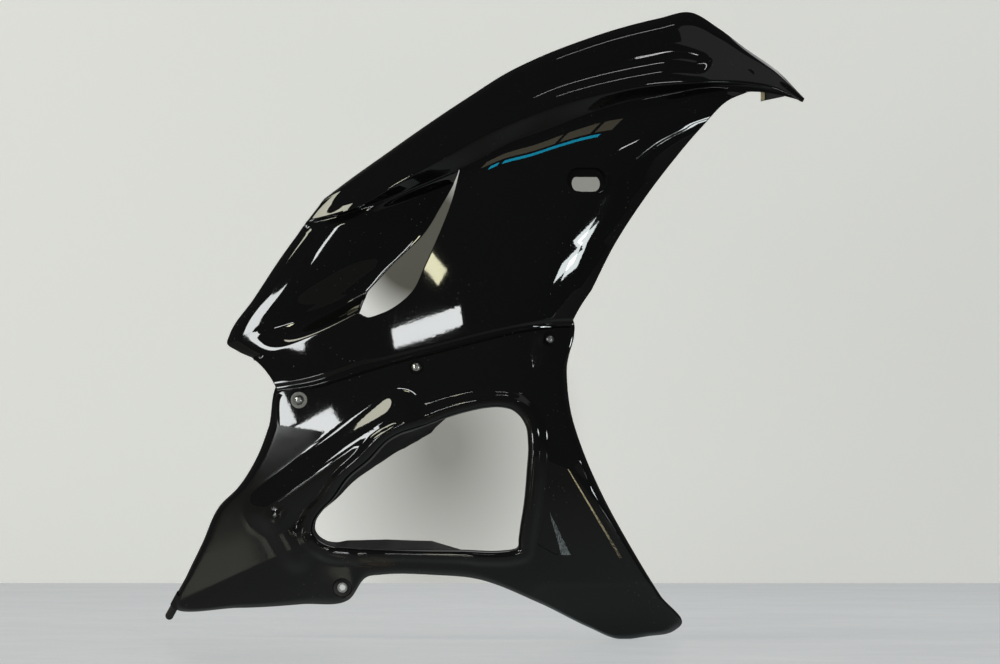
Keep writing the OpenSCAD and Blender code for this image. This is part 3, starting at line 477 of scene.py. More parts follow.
print("strips of the front block:", [b.shape[:2] for b in blocks["f"]])

# %% [markdown]
# A tool leaves no crease knife-sharp, so each row that two strips share is drawn towards the mean
# of its neighbours. The rear and front blocks share points above and below the outlet, and part
# along it, which leaves the outlet open. Merging by distance would close it near its corners.

# %% join the strips and soften the creases
def stack(strips):
    grid = np.concatenate([strips[0]] + [s[1:] for s in strips[1:]])
    row = 0
    for strip in strips[:-1]:
        row += len(strip) - 1
        grid[row] = grid[row] * 0.4 + (grid[row - 1] + grid[row + 1]) * 0.3
    return grid


rear, front = stack(blocks["r"]), stack(blocks["f"])
rows, nr, nf = len(rear), rear.shape[1], front.shape[1]
first = len(v_band) + len(v_strip) - 2
last = first + len(v_main) - 1
ids_r = np.arange(rows * nr).reshape(rows, nr)
ids_f = rows * nr + np.arange(rows * nf).reshape(rows, nf)
shut = np.r_[0:first + 1, last:rows]
ids_f[shut, 0] = ids_r[shut, -1]


def grid_quads(ids):
    return np.stack([ids[:-1, :-1], ids[:-1, 1:], ids[1:, 1:], ids[1:, :-1]], -1).reshape(-1, 4)


upper_sheet = shell(np.concatenate([rear.reshape(-1, 3), front.reshape(-1, 3)]),
                    np.concatenate([grid_quads(ids_r), grid_quads(ids_f)]), WALL, ROUND)
print("upper shell faces:", len(upper_sheet[1]))

# %% [markdown]
# The lower shell is a ring round the engine window. Each station of its grid runs from the outer
# edge to the window's edge: first the turned-in edge, or the step of the lap behind the upper
# shell, then the face, the rolled frame and the flange that returns behind it.

# %% stations of the lower shell
STEPS, SEAM_GAP = 16, 1.5
EDGE_W, FRAME_W, FRAME_RISE, FRAME_SHARE, RIM_TURN, FLANGE = 10, 22, 6, 0.4, 3, 12
LAP_UP, LAP_IN, LAP_STEP, LAP_SHARE = 10, 2.16, 3.6, 0.4
seam = [(x, z - SEAM_GAP / H) for x, z in seam_front[:0:-1] + seam_rear[::-1]]
outer_places = free_edge + seam
outer_loop, window_loop = closed_rail(outer_places, STEPS), closed_rail(window, STEPS)
n = np.arange(len(outer_loop))
laps = np.array([0.0] * len(free_edge) + [1.0] * len(seam))
lap = mix(laps[n // STEPS], laps[(n // STEPS + 1) % len(laps)], (n % STEPS) / STEPS)[:, None]
a, b = outer_loop * [W, H], window_loop * [W, H]
span = np.linalg.norm(b - a, axis=1)[:, None]
way = (b - a) / span
edge_w, frame_w = np.minimum(EDGE_W, 0.3 * span), np.minimum(FRAME_W, 0.55 * span)
rise = FRAME_RISE * frame_w / FRAME_W
print("stations:", len(n), "and between edge and window, mm:", span.min().round(1), "to",
      span.max().round(1))

# %% [markdown]
# Row by row from the outer edge: the lap slides up behind the upper shell along the seam and turns
# in along the free edge, then come the face, the swelling frame, its round turn and the flange.
# The stations crowd together over the window's upper left and would pinch the rows there, so the
# points near that corner are evened out, as the Smooth brush would do it.

# %% rows of the lower shell
PINCH_AT, PINCH_REACH, PINCH_ROUNDS = (74, 198), 13, 60
plan, off = [], []


def add_row(points, depth):
    plan.append(points)
    off.append(np.broadcast_to(depth, span.shape))


for t in graded([0, LAP_SHARE, 1], [6, 8]):
    lap_up, lap_on = max(0, 1 - t / LAP_SHARE), ease((t - LAP_SHARE) / (1 - LAP_SHARE))
    turned = a + way * edge_w * t
    lapped = a + np.array([0, LAP_UP]) * lap_up + way * LAP_IN * lap_on
    add_row(mix(turned, lapped, lap), mix(EDGE_TURN * fall(t), LAP_STEP * (1 - lap_on), lap))
start = mix(edge_w, LAP_IN, lap)
for t in np.linspace(0, 1, 27)[1:]:
    add_row(a + way * mix(start, span - frame_w, t), 0)
for t in graded([1, FRAME_SHARE], [9])[1:]:
    add_row(b - way * frame_w * t, -rise * ease((1 - t) / 0.5))
for turn in np.linspace(0, math.pi / 2, 9)[1:]:
    t = FRAME_SHARE * (1 - math.sin(turn))
    add_row(b - way * frame_w * t, -rise + (rise + RIM_TURN) * (1 - math.cos(turn)))
for t in np.linspace(0, 1, 5)[1:]:
    add_row(b, RIM_TURN + FLANGE * t)


def calm(points, centre, reach, rounds):
    near = np.exp(-(((points[..., [0, 2]] - centre) / reach) ** 2).sum(-1))[:, 1:-1, None] * 0.5
    for _ in range(rounds):
        around = (np.roll(points, 1, 0) + np.roll(points, -1, 0))[:, 1:-1]
        around = (around + points[:, :-2] + points[:, 2:]) / 4
        points[:, 1:-1] += near * (around - points[:, 1:-1])
    return points


def ring_grid(plan, off):
    s = np.stack(plan, 1) / [W, H]
    points = place(s, lower_depth(s) + np.hstack(off))
    points = calm(points, PINCH_AT, PINCH_REACH, PINCH_ROUNDS)
    ids = np.arange(points.shape[0] * points.shape[1]).reshape(points.shape[:2])
    return points.reshape(-1, 3), grid_quads(np.vstack([ids, ids[:1]]))


lower_sheet = shell(*ring_grid(plan, off), WALL, ROUND)
print("lower shell:", len(plan), "rows by", len(n), "stations")

# %% [markdown]
# Behind the window lies a thin matte trim: a ledge against the flange, and a wall that reaches
# inward. It is wider at the top of the window, where the photograph shows it as a dark lip.

# %% the inner trim
LEDGE_BACK, LEDGE_W, TRIM_DEEP = RIM_TURN + FLANGE + 0.3, 18, 34
TRIM_WALL, TRIM_ROUND = 2, 0.5
show = np.zeros((len(laps), 2))
show[:13] = [(9, -7), (7, -5), (3, -1), (1, 0), (1, 0), (2, 1), (3, 2), (4, 3), (4, 6), (2, 10),
             (0, 13), (0, 15), (0, 14)]
show[32:] = [(12, -4), (26, -4), (26, -10), (20, -14)]
show = mix(show[n // STEPS], show[(n // STEPS + 1) % len(laps)], (n % STEPS)[:, None] / STEPS)
show = show * [W * 0.001, H * 0.001]
ledge = np.minimum(LEDGE_W, span * 0.55)
plan, off = [], []
for t in np.linspace(0, 1, 7):
    add_row(b - way * ledge * (1 - t), LEDGE_BACK)
for t in graded([0, 0.06, 0.94, 1], [2, 8, 2])[1:]:
    add_row(b + show * t, LEDGE_BACK + TRIM_DEEP * t)
trim_sheet = shell(*ring_grid(plan, off), TRIM_WALL, TRIM_ROUND)
print("trim faces:", len(trim_sheet[1]))

# %% [markdown]
# Round seats, cups and bosses are true cylinders. They are joined to the shells and cut from them
# as a moulder's tool would, with Boolean modifiers: the manifold solver is exact enough for closed
# shells and quick. All that is needed is a closed prism over an outline.

# %% prisms over an outline
X, Y, Z = np.eye(3)
ZERO = np.zeros(3)
BITE, FAR = 1.5, 60


def disc(d, sides=72):
    t = np.arange(sides) * 2 * math.pi / sides
    return np.stack([np.cos(t), np.sin(t)], 1) * d / 2


def prism(outline, at, low, high, across=X, up=Z, out=Y):
    outline = np.array(outline, float)
    if np.dot(np.cross(across, up), out) < 0:
        outline = outline[::-1]
    m = len(outline)
    flat = at + outline[:, :1] * across + outline[:, 1:] * up
    rings = []
    for end in (low, high):
        depth = end(flat) if callable(end) else np.full(m, float(end))
        rings.append(flat + depth[:, None] * out)
    points = np.vstack([rings[0], rings[1], rings[0].mean(0), rings[1].mean(0)])
    i, j = np.arange(m), (np.arange(m) + 1) % m
    faces = [(p, q, q + m, p + m) for p, q in zip(i, j)]
    faces += [(q, p, 2 * m) for p, q in zip(i, j)]
    faces += [(p + m, q + m, 2 * m + 1) for p, q in zip(i, j)]
    return points, faces


print("a round pin has", len(prism(disc(10), ZERO, 0, 5)[1]), "faces")

# %% [markdown]
# Not every tool is round or square to the frame. The scoop in the leg has rounded corners, and it
# and the lamp pocket lean with the face. Outlines are therefore drawn flat and laid on the face
# by three directions: across, up and out.

# %% outlines with round corners, and directions on the face
def rounded(corners, r, steps=8):
    corners, outline = np.array(corners, float), []
    for i, at in enumerate(corners):
        before, after = corners[i - 1] - at, corners[(i + 1) % len(corners)] - at
        before, after = before / np.linalg.norm(before), after / np.linalg.norm(after)
        half = math.acos(np.clip(np.dot(before, after), -1, 1)) / 2
        middle = at + (before + after) / np.linalg.norm(before + after) * r / math.sin(half)
        start, end = (at + way * r / math.tan(half) - middle for way in (before, after))
        for t in np.linspace(0, 1, steps):
            way = mix(start, end, t)
            outline.append(middle + way / np.linalg.norm(way) * r)
    return outline


def square_to(share):
    g = slope(share)
    out = np.array([g[0], -1, g[1]]) / np.linalg.norm([g[0], -1, g[1]])
    level = np.array([-out[1], out[0], 0]) / math.hypot(out[0], out[1])
    return dict(across=np.cross(level, out), up=level, out=out)


print("points of a square with round corners:",
      len(rounded([(0, 0), (9, 0), (9, 9), (0, 9)], 2)))

# %% [markdown]
# One helper does every Boolean: it gathers the prisms into a tool, joins or cuts, keeps the result
# as the piece's mesh and throws the tool away. Prisms that touch one another go in one after the
# other, because the tool itself has to be closed and clean.

# %% joining and cutting
def gather(parts):
    points, faces, start = [], [], 0
    for p, f in parts:
        points.append(p)
        faces += [tuple(v + start for v in face) for face in f]
        start += len(p)
    return np.vstack(points), faces


def work(piece, how, parts):
    tool = solid("tool", *gather(parts))
    step = piece.modifiers.new(how, "BOOLEAN")
    step.operation, step.object, step.solver = how, tool, "MANIFOLD"
    before = len(piece.data.polygons)
    seen = piece.evaluated_get(bpy.context.evaluated_depsgraph_get())
    made = bpy.data.meshes.new_from_object(seen)
    piece.modifiers.clear()
    piece.data = made
    bpy.data.objects.remove(tool)
    print(piece.name, how.lower(), "faces", before, "to", len(made.polygons))


def behind_face(at_y):
    return lambda flat: face_y(flat[:, 0], flat[:, 2]) + BITE - at_y


print("a boss starts", BITE, "mm behind the face, inside the wall")

# %% [markdown]
# The seam's screws sit in flat round seats. The face leans, so a seat has to sink until its whole
# floor is below the face: the steeper the face, the deeper the seat. The trim's rivets have bosses
# of their own behind the frame.

# %% sizes of the seats, from the slope of the face at each screw
SEAT_FLOOR, HALF_TONGUE, PAD_D, RIVET_HOLE, SCREW_HOLE = 4.8, 12, 13, 5.2, 6.3
screws = {"front": (np.array([0.602, 0.480]), 16), "middle": (np.array([0.395, 0.4355]), 16),
          "rear": (np.array([0.210, 0.383]), 20)}
seats = {}
for name, (share, d) in screws.items():
    at = spot(share)
    sink = SEAT_DEPTH + tilt(share, d / 2)
    seats[name] = dict(at=at, d=d, sink=sink, share=share,
                       back=sink + SEAT_FLOOR + abs(slope(share)[0]) * HALF_TONGUE)
    print(name, "seat at", at.round(1).tolist(), "floor", round(float(sink), 2), "mm down")
pad_shares = np.array([(0.442, 0.368), (0.2335, 0.207), (0.368, 0.1327)])
trim_pads = [spot(s) for s in pad_shares]
pad_front = [LEDGE_BACK - tilt(share, PAD_D / 2) for share in pad_shares]
pad_back = [LEDGE_BACK + TRIM_WALL + tilt(share, PAD_D / 2) for share in pad_shares]

# %% [markdown]
# Behind the lower shell stand the bosses: one under each seat, a cup for the rubber grommet,
# three for the trim's rivets, and a slanted sleeve at the tail that holds the rubber peg.

# %% lower shell: bosses joined
PEG_BACK, SLEEVE_D, SLEEVE_L, PEG_D = 7.3, 11, 19, 7
lower = solid("lower_cover", *lower_sheet)
bosses = [prism(disc(s["d"] + 4), s["at"], behind_face(s["at"][1]), s["back"])
          for s in seats.values()]
bosses.append(prism(disc(TAB_SEAT_D + 4), ZERO, behind_face(0), TAB_FRONT + TAB_FLOOR))
for front_y, at in zip(pad_front, trim_pads):
    bosses.append(prism(disc(10), at, behind_face(at[1]), front_y))
root, aim = spot((0.019, 0.069)) + PEG_BACK * Y, spot((-0.004, 0.028)) + PEG_BACK * Y
peg_way = (aim - root) / np.linalg.norm(aim - root)
peg_side = np.cross(peg_way, Y) / np.linalg.norm(np.cross(peg_way, Y))
on_peg = dict(across=peg_side, up=np.cross(peg_way, peg_side), out=peg_way)
bosses.append(prism(disc(SLEEVE_D), root, 0, SLEEVE_L, **on_peg))
work(lower, "UNION", bosses)

# %% [markdown]
# The cuts follow in the order of a drill: the wide seats first, then the through holes in their
# floors. The scoop is a small dart-shaped pocket low on the leg, cut along the lean of the face.

# %% lower shell: seats, holes and the scoop cut
GROMMET_HOLE, SCOOP_TOP, SCOOP_ROUND = 15, 1.5, 2
cuts = [prism(disc(s["d"]), s["at"], -FAR, s["sink"]) for s in seats.values()]
cuts += [prism(disc(TAB_SEAT_D), ZERO, -FAR, TAB_FRONT),
         prism(disc(TAB_SEAT_D), ZERO, TAB_FRONT + TAB_FLOOR, FAR),
         prism(disc(PEG_D), root, 0, FAR, **on_peg)]
for front_y, at in zip(pad_front, trim_pads):
    cuts.append(prism(disc(RIVET_HOLE), at, front_y - 9, FAR))
work(lower, "DIFFERENCE", cuts)
work(lower, "DIFFERENCE", [prism(disc(SCREW_HOLE), s["at"], 0, FAR) for s in seats.values()]
     + [prism(disc(GROMMET_HOLE), ZERO, 0, 10)])
scoop = [(-q * H, p * W) for p, q in ((-0.003, 0.038), (-0.016, -0.013), (0.017, -0.033),
                                      (0.020, -0.020))]
scoop_share = np.array([0.599, 0.167])
work(lower, "DIFFERENCE", [prism(rounded(scoop, SCOOP_ROUND), spot(scoop_share), -SCOOP_TOP, FAR,
                                 **square_to(scoop_share))])

# %% [markdown]
# The trim gets three round pads where its rivets pass, level although the trim leans, so that the
# heads of the rivets sit flat.

# %% trim: pads joined, rivet holes cut
trim = solid("window_trim", *trim_sheet)
work(trim, "UNION", [prism(disc(PAD_D), at, lo, hi)
                     for at, lo, hi in zip(trim_pads, pad_front, pad_back)])
work(trim, "DIFFERENCE", [prism(disc(RIVET_HOLE), at, lo - 1, FAR)
                          for at, lo in zip(trim_pads, pad_front)])

# %% [markdown]
# The upper shell reaches over the seam with three tongues, each on a web behind the face, which
# the screws clamp. The signal lamp of the machine sits in an oval pocket with a flat-topped hole.

# %% outline and place of the lamp pocket
POCKET_BLOCK, POCKET_CUT, LAMP_HOLE = (48, 31), (43, 26), (31, 20, 3.5, -4)
pocket = np.array([0.660, 0.733])
on_pocket = square_to(pocket)


def stadium(length, height, shift=0.0, flat=None):
    t = np.linspace(0, math.pi, 33)
    half = np.stack([np.cos(t) * height / 2, np.sin(t) * height / 2 + (length - height) / 2], 1)
    outline = np.vstack([half, -half]) + [shift, 0]
    if flat is not None:
        outline[:, 0] = np.maximum(outline[:, 0], flat)
    return outline


print("lamp hole, mm:", np.ptp(stadium(*LAMP_HOLE), 0).round(1).tolist())

# %% [markdown]
# A tongue is a flat plate with a round end that hangs from the shell behind the seam, on a web
# that reaches back from the face. The three are joined one after the other, pads, plates and webs,
# because they overlap. The post under the nose carries the small bracket.

# %% upper shell: tongues, pocket and nose post joined, holes cut
TONGUE, TONGUE_PLAY, LAP_PLAY, WEB = 3, 0.8, 1.2, 8
upper = solid("upper_cover", *upper_sheet)
pads, plates, webs = [], [], []
for name, s in seats.items():
    at, share = s["at"] + (s["back"] + TONGUE_PLAY) * Y, s["share"]
    edge = np.interp(share[0], *zip(*(seam_rear + seam_front[1:]))) - share[1]
    top, side = edge * H - SEAM_GAP + LAP_UP + LAP_PLAY, HALF_TONGUE
    ends = [(side, top + WEB), (-side, top + WEB)]
    pads.append(prism(disc(2 * side), at, 0, TONGUE))
    plates.append(prism([(-side, 0), (side, 0)] + ends, at, 0, TONGUE))
    webs.append(prism([(-side, top), (side, top)] + ends, at, behind_face(at[1]), TONGUE))
col = int(np.argmin(abs(u_f - 0.83)))
row = int(np.argmin(abs(v_band - 0.62)))
nose = front[row, col]
webs += [prism(stadium(*POCKET_BLOCK), spot(pocket), -9.5, -BITE, **on_pocket),
         prism(disc(10), nose, BITE, 19)]
for parts in (pads, plates, webs):
    work(upper, "UNION", parts)
work(upper, "DIFFERENCE", [prism(stadium(*POCKET_CUT), spot(pocket), -7, FAR, **on_pocket),
                           prism(disc(RIVET_HOLE), nose, 4, FAR)]
     + [prism(disc(SCREW_HOLE), s["at"], 0, FAR) for s in seats.values()])
work(upper, "DIFFERENCE", [prism(stadium(*LAMP_HOLE), spot(pocket), -FAR, FAR, **on_pocket)])

# %% [markdown]
# Under the strake the real cover wears a decal: a dark bronze film with a bright blue line below.
# Here the same two colours make a plain pattern of slanted blocks. Each block is sampled from the
# face itself and lies a tenth of a millimetre off it, as thin film does.

# %% film stripes under the strake
FILM_START, FILM_RUN, FILM_WALL, FILM_ROUND, FILM_OFF = 0.09, 0.64, 0.08, 0.02, 0.14


def on_main(u, v):
    i = np.interp(u, u_f, np.arange(nf))
    j = np.interp(v, v_main, np.arange(len(v_main))) + first
    i0, j0 = (np.minimum(k.astype(int), n - 2) for k, n in ((i, nf), (j, rows)))
    a, b = (i - i0)[..., None], (j - j0)[..., None]
    return mix(mix(front[j0, i0], front[j0, i0 + 1], a),
               mix(front[j0 + 1, i0], front[j0 + 1, i0 + 1], a), b)


def film(name, start, end, drop, height, slant):
    t, s = np.meshgrid(np.linspace(start, end, 60), np.linspace(0, 1, 7))
    t = t - slant * s
    points = on_main(FILM_START + FILM_RUN * t,
                     mix(0.035, 0.135, t) + drop(t) + s * height(t)).reshape(-1, 3)
    piece = solid(name, *shell(points - FILM_OFF * Y, grid_quads(
        np.arange(t.size).reshape(t.shape)), FILM_WALL, FILM_ROUND))
    print(name, "faces:", len(piece.data.polygons))
    return piece


films = {}
for name, shape, spans in (
        ("film_bronze", (lambda t: 0 * t, lambda t: 0.022 + 0.035 * t, 0.03),
         ((0.03, 0.50), (0.53, 0.73), (0.76, 0.87))),
        ("film_blue", (lambda t: 0.034 + 0.035 * t, lambda t: 0.014 + 0 * t, 0.012),
         ((0.07, 0.13), (0.16, 0.78)))):
    for k, (start, end) in enumerate(spans):
        films[film(f"{name}_{k + 1}", start, end, *shape)] = name

# %% [markdown]
# A gloss moulding shows every facet in its reflections, so the faces are shaded smooth and only
# true corners stay sharp. Each shell then stands for its solid and rides on the part's one body.

# %% smooth shading, and the pieces in the frame
low, high = (np.array(c) for c in cad_box)
for piece, node, name in ((upper, "upper_panel", "upper_gloss"),
                          (lower, "lower_panel", "lower_gloss"),
                          (trim, "inner_trim", "trim_matte")):
    mesh = piece.data
    at = np.empty(len(mesh.vertices) * 3)
    mesh.vertices.foreach_get("co", at)
    at = np.clip(at.reshape(-1, 3), low, high)
    mesh.vertices.foreach_set("co", at.ravel())
    mesh.shade_smooth()
    mesh.set_sharp_from_angle(angle=math.radians(40))
    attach(piece, "root")
    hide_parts(node)
    print(piece.name, "triangles", sum(len(p.vertices) - 2 for p in mesh.polygons),
          "box mm", (at.min(0) * 1000).round(1).tolist(), (at.max(0) * 1000).round(1).tolist())
for piece in films:
    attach(piece, "root")

# %% [markdown]
# A finish is a small network of shader nodes. To read it as arithmetic, one class wraps a socket:
# adding or multiplying two signals adds the Math node behind them. Every other node is made by one
# method of the finish, which sets the node up first and then fills or links its sockets.

# %% signals
class Signal:
    def __init__(self, tree, socket):
        self.tree, self.socket = tree, socket

    def math(self, kind, other, swap=False):
        node = self.tree.nodes.new("ShaderNodeMath")
        node.operation = kind
        for i, value in enumerate((other, self) if swap else (self, other)):
            plug(self.tree, node.inputs[i], value)
        return Signal(self.tree, node.outputs[0])

    def __add__(self, other):
        return self.math("ADD", other)

    def __mul__(self, other):
        return self.math("MULTIPLY", other)

    def __sub__(self, other):
        return self.math("SUBTRACT", other)

    def __rsub__(self, other):
        return self.math("SUBTRACT", other, swap=True)

    def __gt__(self, other):
        return self.math("GREATER_THAN", other)

    def __lt__(self, other):
        return self.math("LESS_THAN", other)

    __radd__, __rmul__ = __add__, __mul__


def plug(tree, socket, value):
    if isinstance(value, Signal):
        tree.links.new(value.socket, socket)
    else:
        socket.default_value = value


print("signals can be added, subtracted, multiplied and compared")

# %% [markdown]
# A finish starts from a new material and its one shader. What is the same all over is set on the
# shader's own socket, and only what varies is fed in by nodes. All patterns are laid by the place
# on the object itself, in metres, so their scale is true and no unwrapping is needed.

# %% finishes
class Finish:
    def __init__(self, name, **constants):
        self.made = bpy.data.materials.new(name)
        self.made.use_nodes = True
        self.tree = self.made.node_tree
        self.shader = self.tree.nodes["Principled BSDF"]
        for label, value in constants.items():
            self.shader.inputs[label.replace("_", " ")].default_value = value

    def node(self, kind, settings=None, inputs=None, output=0):
        node = self.tree.nodes.new("ShaderNode" + kind)
        for label, value in (settings or {}).items():
            if label == "stops":
                ramp = node.color_ramp
                ramp.elements[0].position, ramp.elements[-1].position = value[0][0], value[-1][0]
                for element, (_, level) in zip(ramp.elements, value):
                    element.color = (level, level, level, 1)
            else:
                setattr(node, label, value)
        for label, value in (inputs or {}).items():
            plug(self.tree, node.inputs[label], value)
        return Signal(self.tree, node.outputs[output])

    def set(self, label, value):
        plug(self.tree, self.shader.inputs[label], value)

    def place(self):
        return self.node("TexCoord", output=3)

    def x_and_z(self):
        at = self.place()
        return [self.node("SeparateXYZ", None, {"Vector": at}, k) for k in (0, 2)]

    def noise(self, scale, detail=2.0, rough=0.5, at=None):
        return self.node("TexNoise", None, {"Vector": at or self.place(), "Scale": scale,
                                            "Detail": detail, "Roughness": rough})

    def cells(self, scale, at=None, output=0):
        return self.node("TexVoronoi", None, {"Vector": at or self.place(),
                                              "Scale": scale}, output)

    def ramp(self, signal, *stops):
        return self.node("ValToRGB", {"stops": stops}, {"Fac": signal})

    def stretched(self, scale, turn=(0, 0, 0)):
        return self.node("Mapping", None, {"Vector": self.place(), "Scale": scale,
                                           "Rotation": turn})

    def soft_spot(self, centre, radii, full):
        scale = [1 / r if r else 0 for r in radii]
        near = self.node("TexGradient", {"gradient_type": "SPHERICAL"}, {"Vector": self.node(
            "Mapping", None, {"Vector": self.place(), "Scale": scale,
                              "Location": [-c * k for c, k in zip(centre, scale)]})})
        return self.ramp(near, (0.0, 0), (full, 1))

    def blend(self, share, first, second):
        return self.node("Mix", {"data_type": "RGBA"}, {0: share, 6: first, 7: second}, 2)

    def bump(self, height, distance, strength=1.0):
        self.set("Normal", self.node("Bump", None, {"Height": height, "Distance": distance,
                                                    "Strength": strength}))

    def ready(self):
        print("finish", self.made.name, "has", len(self.tree.nodes), "nodes")
        return self.made


def grey(level, warm=0.0):
    return (level * (1 + warm), level, level * (1 - warm), 1)


print("a warm grey:", grey(0.5, 0.04))

# %% [markdown]
# The lower shell has been used. The fold down the front of the leg is rubbed through to pale
# specks, coloured warm and bright as a painted highlight of a lamp on that fold. A pale band of
# fine hairs along the flank of the scoop is partly scuffing and partly a painted highlight where
# the sloping flank catches the light. The bar under the window has a brown scuff. Each is found
# by its place: a line that the distance is taken from, or a soft oval. Paint by hand on an image
# would do as well, but it would need an unwrapped mesh.

# %% worn places of the lower shell and painted highlights on it, in metres
def off_line(x, z, on_line, square):
    return (x - on_line[0]) * square[0] + (z - on_line[1]) * square[1]


# Pale wear specks on the leg's fold, with a painted warm highlight of the fold in their colour.
def fold_wear_and_glint(finish):
    upper_end, lower_end, narrow, widening, thinning = 0.132, 0.034, 1.5e-7, 1.6e-5, 1.9
    x, z = finish.x_and_z()
    off, down = off_line(x, z, (0.2549, 0.1204), (0.860, 0.510)), upper_end - z
    specks = finish.ramp(finish.noise(1300, 3, 0.7) - down * thinning, (0.34, 0), (0.44, 1))
    return (off * off < down * widening + narrow) * (z < upper_end) * (z > lower_end) * specks


# Fine hairs on the scoop's right flank: partly scuffing, partly a painted highlight of that flank.
def scoop_hairs_and_sheen(finish):
    upper_end, lower_end, taper, other_side = 0.0850, 0.0375, 0.15, -0.35
    x, z = finish.x_and_z()
    ragged = finish.noise(160, 3, 0.7) * 0.004 - 0.002
    off = off_line(x, z, (0.2285, 0.0830), (0.950, 0.312)) + ragged
    width = (upper_end - z) * taper
    hairs = finish.noise(1, 4, 0.7, finish.stretched((1500, 300, 260), (0, 0.32, 0)))
    return ((off < width) * (off > width * other_side) * (z < upper_end) * (z > lower_end)
            * finish.ramp(hairs, (0.38, 0), (0.60, 1)))


def bar_scuff(finish):
    streaks = finish.noise(1, 3, 0.6, finish.stretched((60, 60, 700), (0, 0.25, 0)))
    return (finish.soft_spot((0.03424, 0, 0.0284), (1 / 33, 0, 0.008), 0.7)
            * finish.ramp(streaks, (0.4, 0), (0.6, 1)))


print("worn places:", [wear.__name__ for wear in (fold_wear_and_glint, scoop_hairs_and_sheen, bar_scuff)])

# %% [markdown]
# The shells are piano-black plastic. It is nearly all reflection: what it shows of itself is a
# faint orange peel, a haze where it was wiped, fine hairline scratches, and specks of dust that
# lie in soft patches. Each of these gets its own noise at its true size, which
# a painted image could only do for one view.

# %% high gloss black
# The pale warm colour is wear with a painted highlight; the blue-grey is hairs with a painted
# highlight.
DUST, WORN_GLINT_PALE = (0.32, 0.31, 0.28, 1), (0.92, 0.78, 0.48, 1)
HAIRS_AND_SHEEN_GREY, SCUFF_BROWN = (0.34, 0.38, 0.40, 1), (0.11, 0.065, 0.035, 1)


def gloss_black(name, level, seed, worn=False):
    finish = Finish(name, IOR=1.5)
    at = finish.node("Mapping", None, {"Vector": finish.place(), "Location": (seed, seed, 0)})
    haze = finish.ramp(finish.noise(9, 4, 0.6, at), (0.42, 0), (0.75, 1))
    wipe = finish.noise(1, 3, 0.6, finish.stretched((30, 60, 240), (0.3, 0.8, 0.2)))
    hairs = finish.noise(1, 1, 0.5, finish.stretched((12, 900, 900), (0, 0.7, 0)))
    cross = finish.noise(1, 1, 0.5, finish.stretched((900, 900, 16), (0, 0.5, 0)))
    scratch = (finish.ramp(hairs, (0.70, 0), (0.76, 1))
               + finish.ramp(cross, (0.72, 0), (0.78, 1))) * haze
    pick = finish.node("TexWhiteNoise", None, {"Vector": finish.cells(420, at, 1)})
    shelf = finish.ramp(finish.noise(14, 3, 0.6, at), (0.45, 0), (0.7, 1))
    dust = (finish.cells(420, at) < 0.16) * (pick > 0.93) * shelf
    colour = finish.blend(dust * 0.55, grey(level), DUST)
    rough = 0.012 + haze * 0.03 + wipe * 0.018 + scratch * 0.08 + dust * 0.4
    if worn:
        edge, scuff, hairs_and_sheen = fold_wear_and_glint(finish), bar_scuff(finish), scoop_hairs_and_sheen(finish)
        # Painted highlight: the worn fold is coloured pale and warm.
        colour = finish.blend(edge * 0.95, colour, WORN_GLINT_PALE)
        # Painted highlight: the scoop's flank is coloured pale blue-grey along with its fine hairs.
        colour = finish.blend(hairs_and_sheen * 0.8, colour, HAIRS_AND_SHEEN_GREY)
        colour = finish.blend(scuff * 0.5, colour, SCUFF_BROWN)
        rough = rough + edge * 0.4 + scuff * 0.25 + hairs_and_sheen * 0.3
    finish.set("Base Color", colour)
    finish.set("Roughness", rough)
    peel = finish.noise(320, 2, 0.4, at)
    finish.bump(peel * 0.6 + finish.noise(60, 2, 0.5, at) * 2.0, 0.00001, 1.0)
    return finish.ready()


upper_black = gloss_black("upper_gloss", 0.0055, 0.0)
lower_black = gloss_black("lower_gloss", 0.0065, 3.7, worn=True)


# %% [markdown]
# The films are printed vinyl. The bronze one holds tiny flakes, each a cell with a brightness and
# a metal share of its own, which sparkle as the view moves. The blue one has none.

# %% bronze and blue film
def film_finish(name, tone, metal):
    finish = Finish(name, IOR=1.5)
    flake = finish.cells(2600, output=1)
    spark = finish.node("TexWhiteNoise", None, {"Vector": flake})
    haze = finish.ramp(finish.noise(30, 3, 0.6), (0.42, 0), (0.75, 1))
    bright = tuple(c * 1.5 for c in tone[:3]) + (1,)
    finish.set("Base Color", finish.blend(spark * 0.5, tone, bright))
    finish.set("Metallic", spark * metal)
    finish.set("Roughness", 0.12 + haze * 0.06 + spark * 0.06)
    finish.bump(finish.noise(320, 2, 0.4), 0.000006, 1.0)
    return finish.ready()


bronze_film = film_finish("film_bronze", (0.095, 0.086, 0.064, 1), 0.35)
blue_film = film_finish("film_blue", (0.010, 0.34, 0.56, 1), 0.0)


# %% [markdown]
# The trim, the bracket and the rivets are the same plastic with a spark-eroded texture: small
# round hills about half a millimetre apart that scatter the light. Cells for the hills and a fine
# noise on top give that grain. The trim's copy is made darker and given a lower IOR, so that it
# mirrors less: that is painted shade, for the trim lies in shade behind the window.

# %% textured black plastic
def matte_black(name, level, grain, rough, ior=1.46):
    finish = Finish(name, IOR=ior)
    hills = finish.cells(grain)
    fine = finish.noise(grain * 2.3, 3, 0.6)
    worn = finish.ramp(finish.noise(22, 4, 0.6), (0.35, 0), (0.7, 1))
    finish.set("Base Color", finish.blend(worn * 0.6, grey(level), grey(level * 1.7, 0.03)))
    finish.set("Roughness", rough + worn * 0.1 - fine * 0.08)
    finish.bump(hills + fine * 0.6, 0.00006, 0.8)
    return finish.ready()


# Painted shade: this copy of the plastic is darker and mirrors less, as the trim lies in shade.
trim_black_shaded = matte_black("trim_matte", 0.005, 1500, 0.55, ior=1.25)
bracket_black = matte_black("bracket_matte", 0.022, 1300, 0.5)
rivet_black = matte_black("rivet_plastic", 0.018, 1800, 0.42)


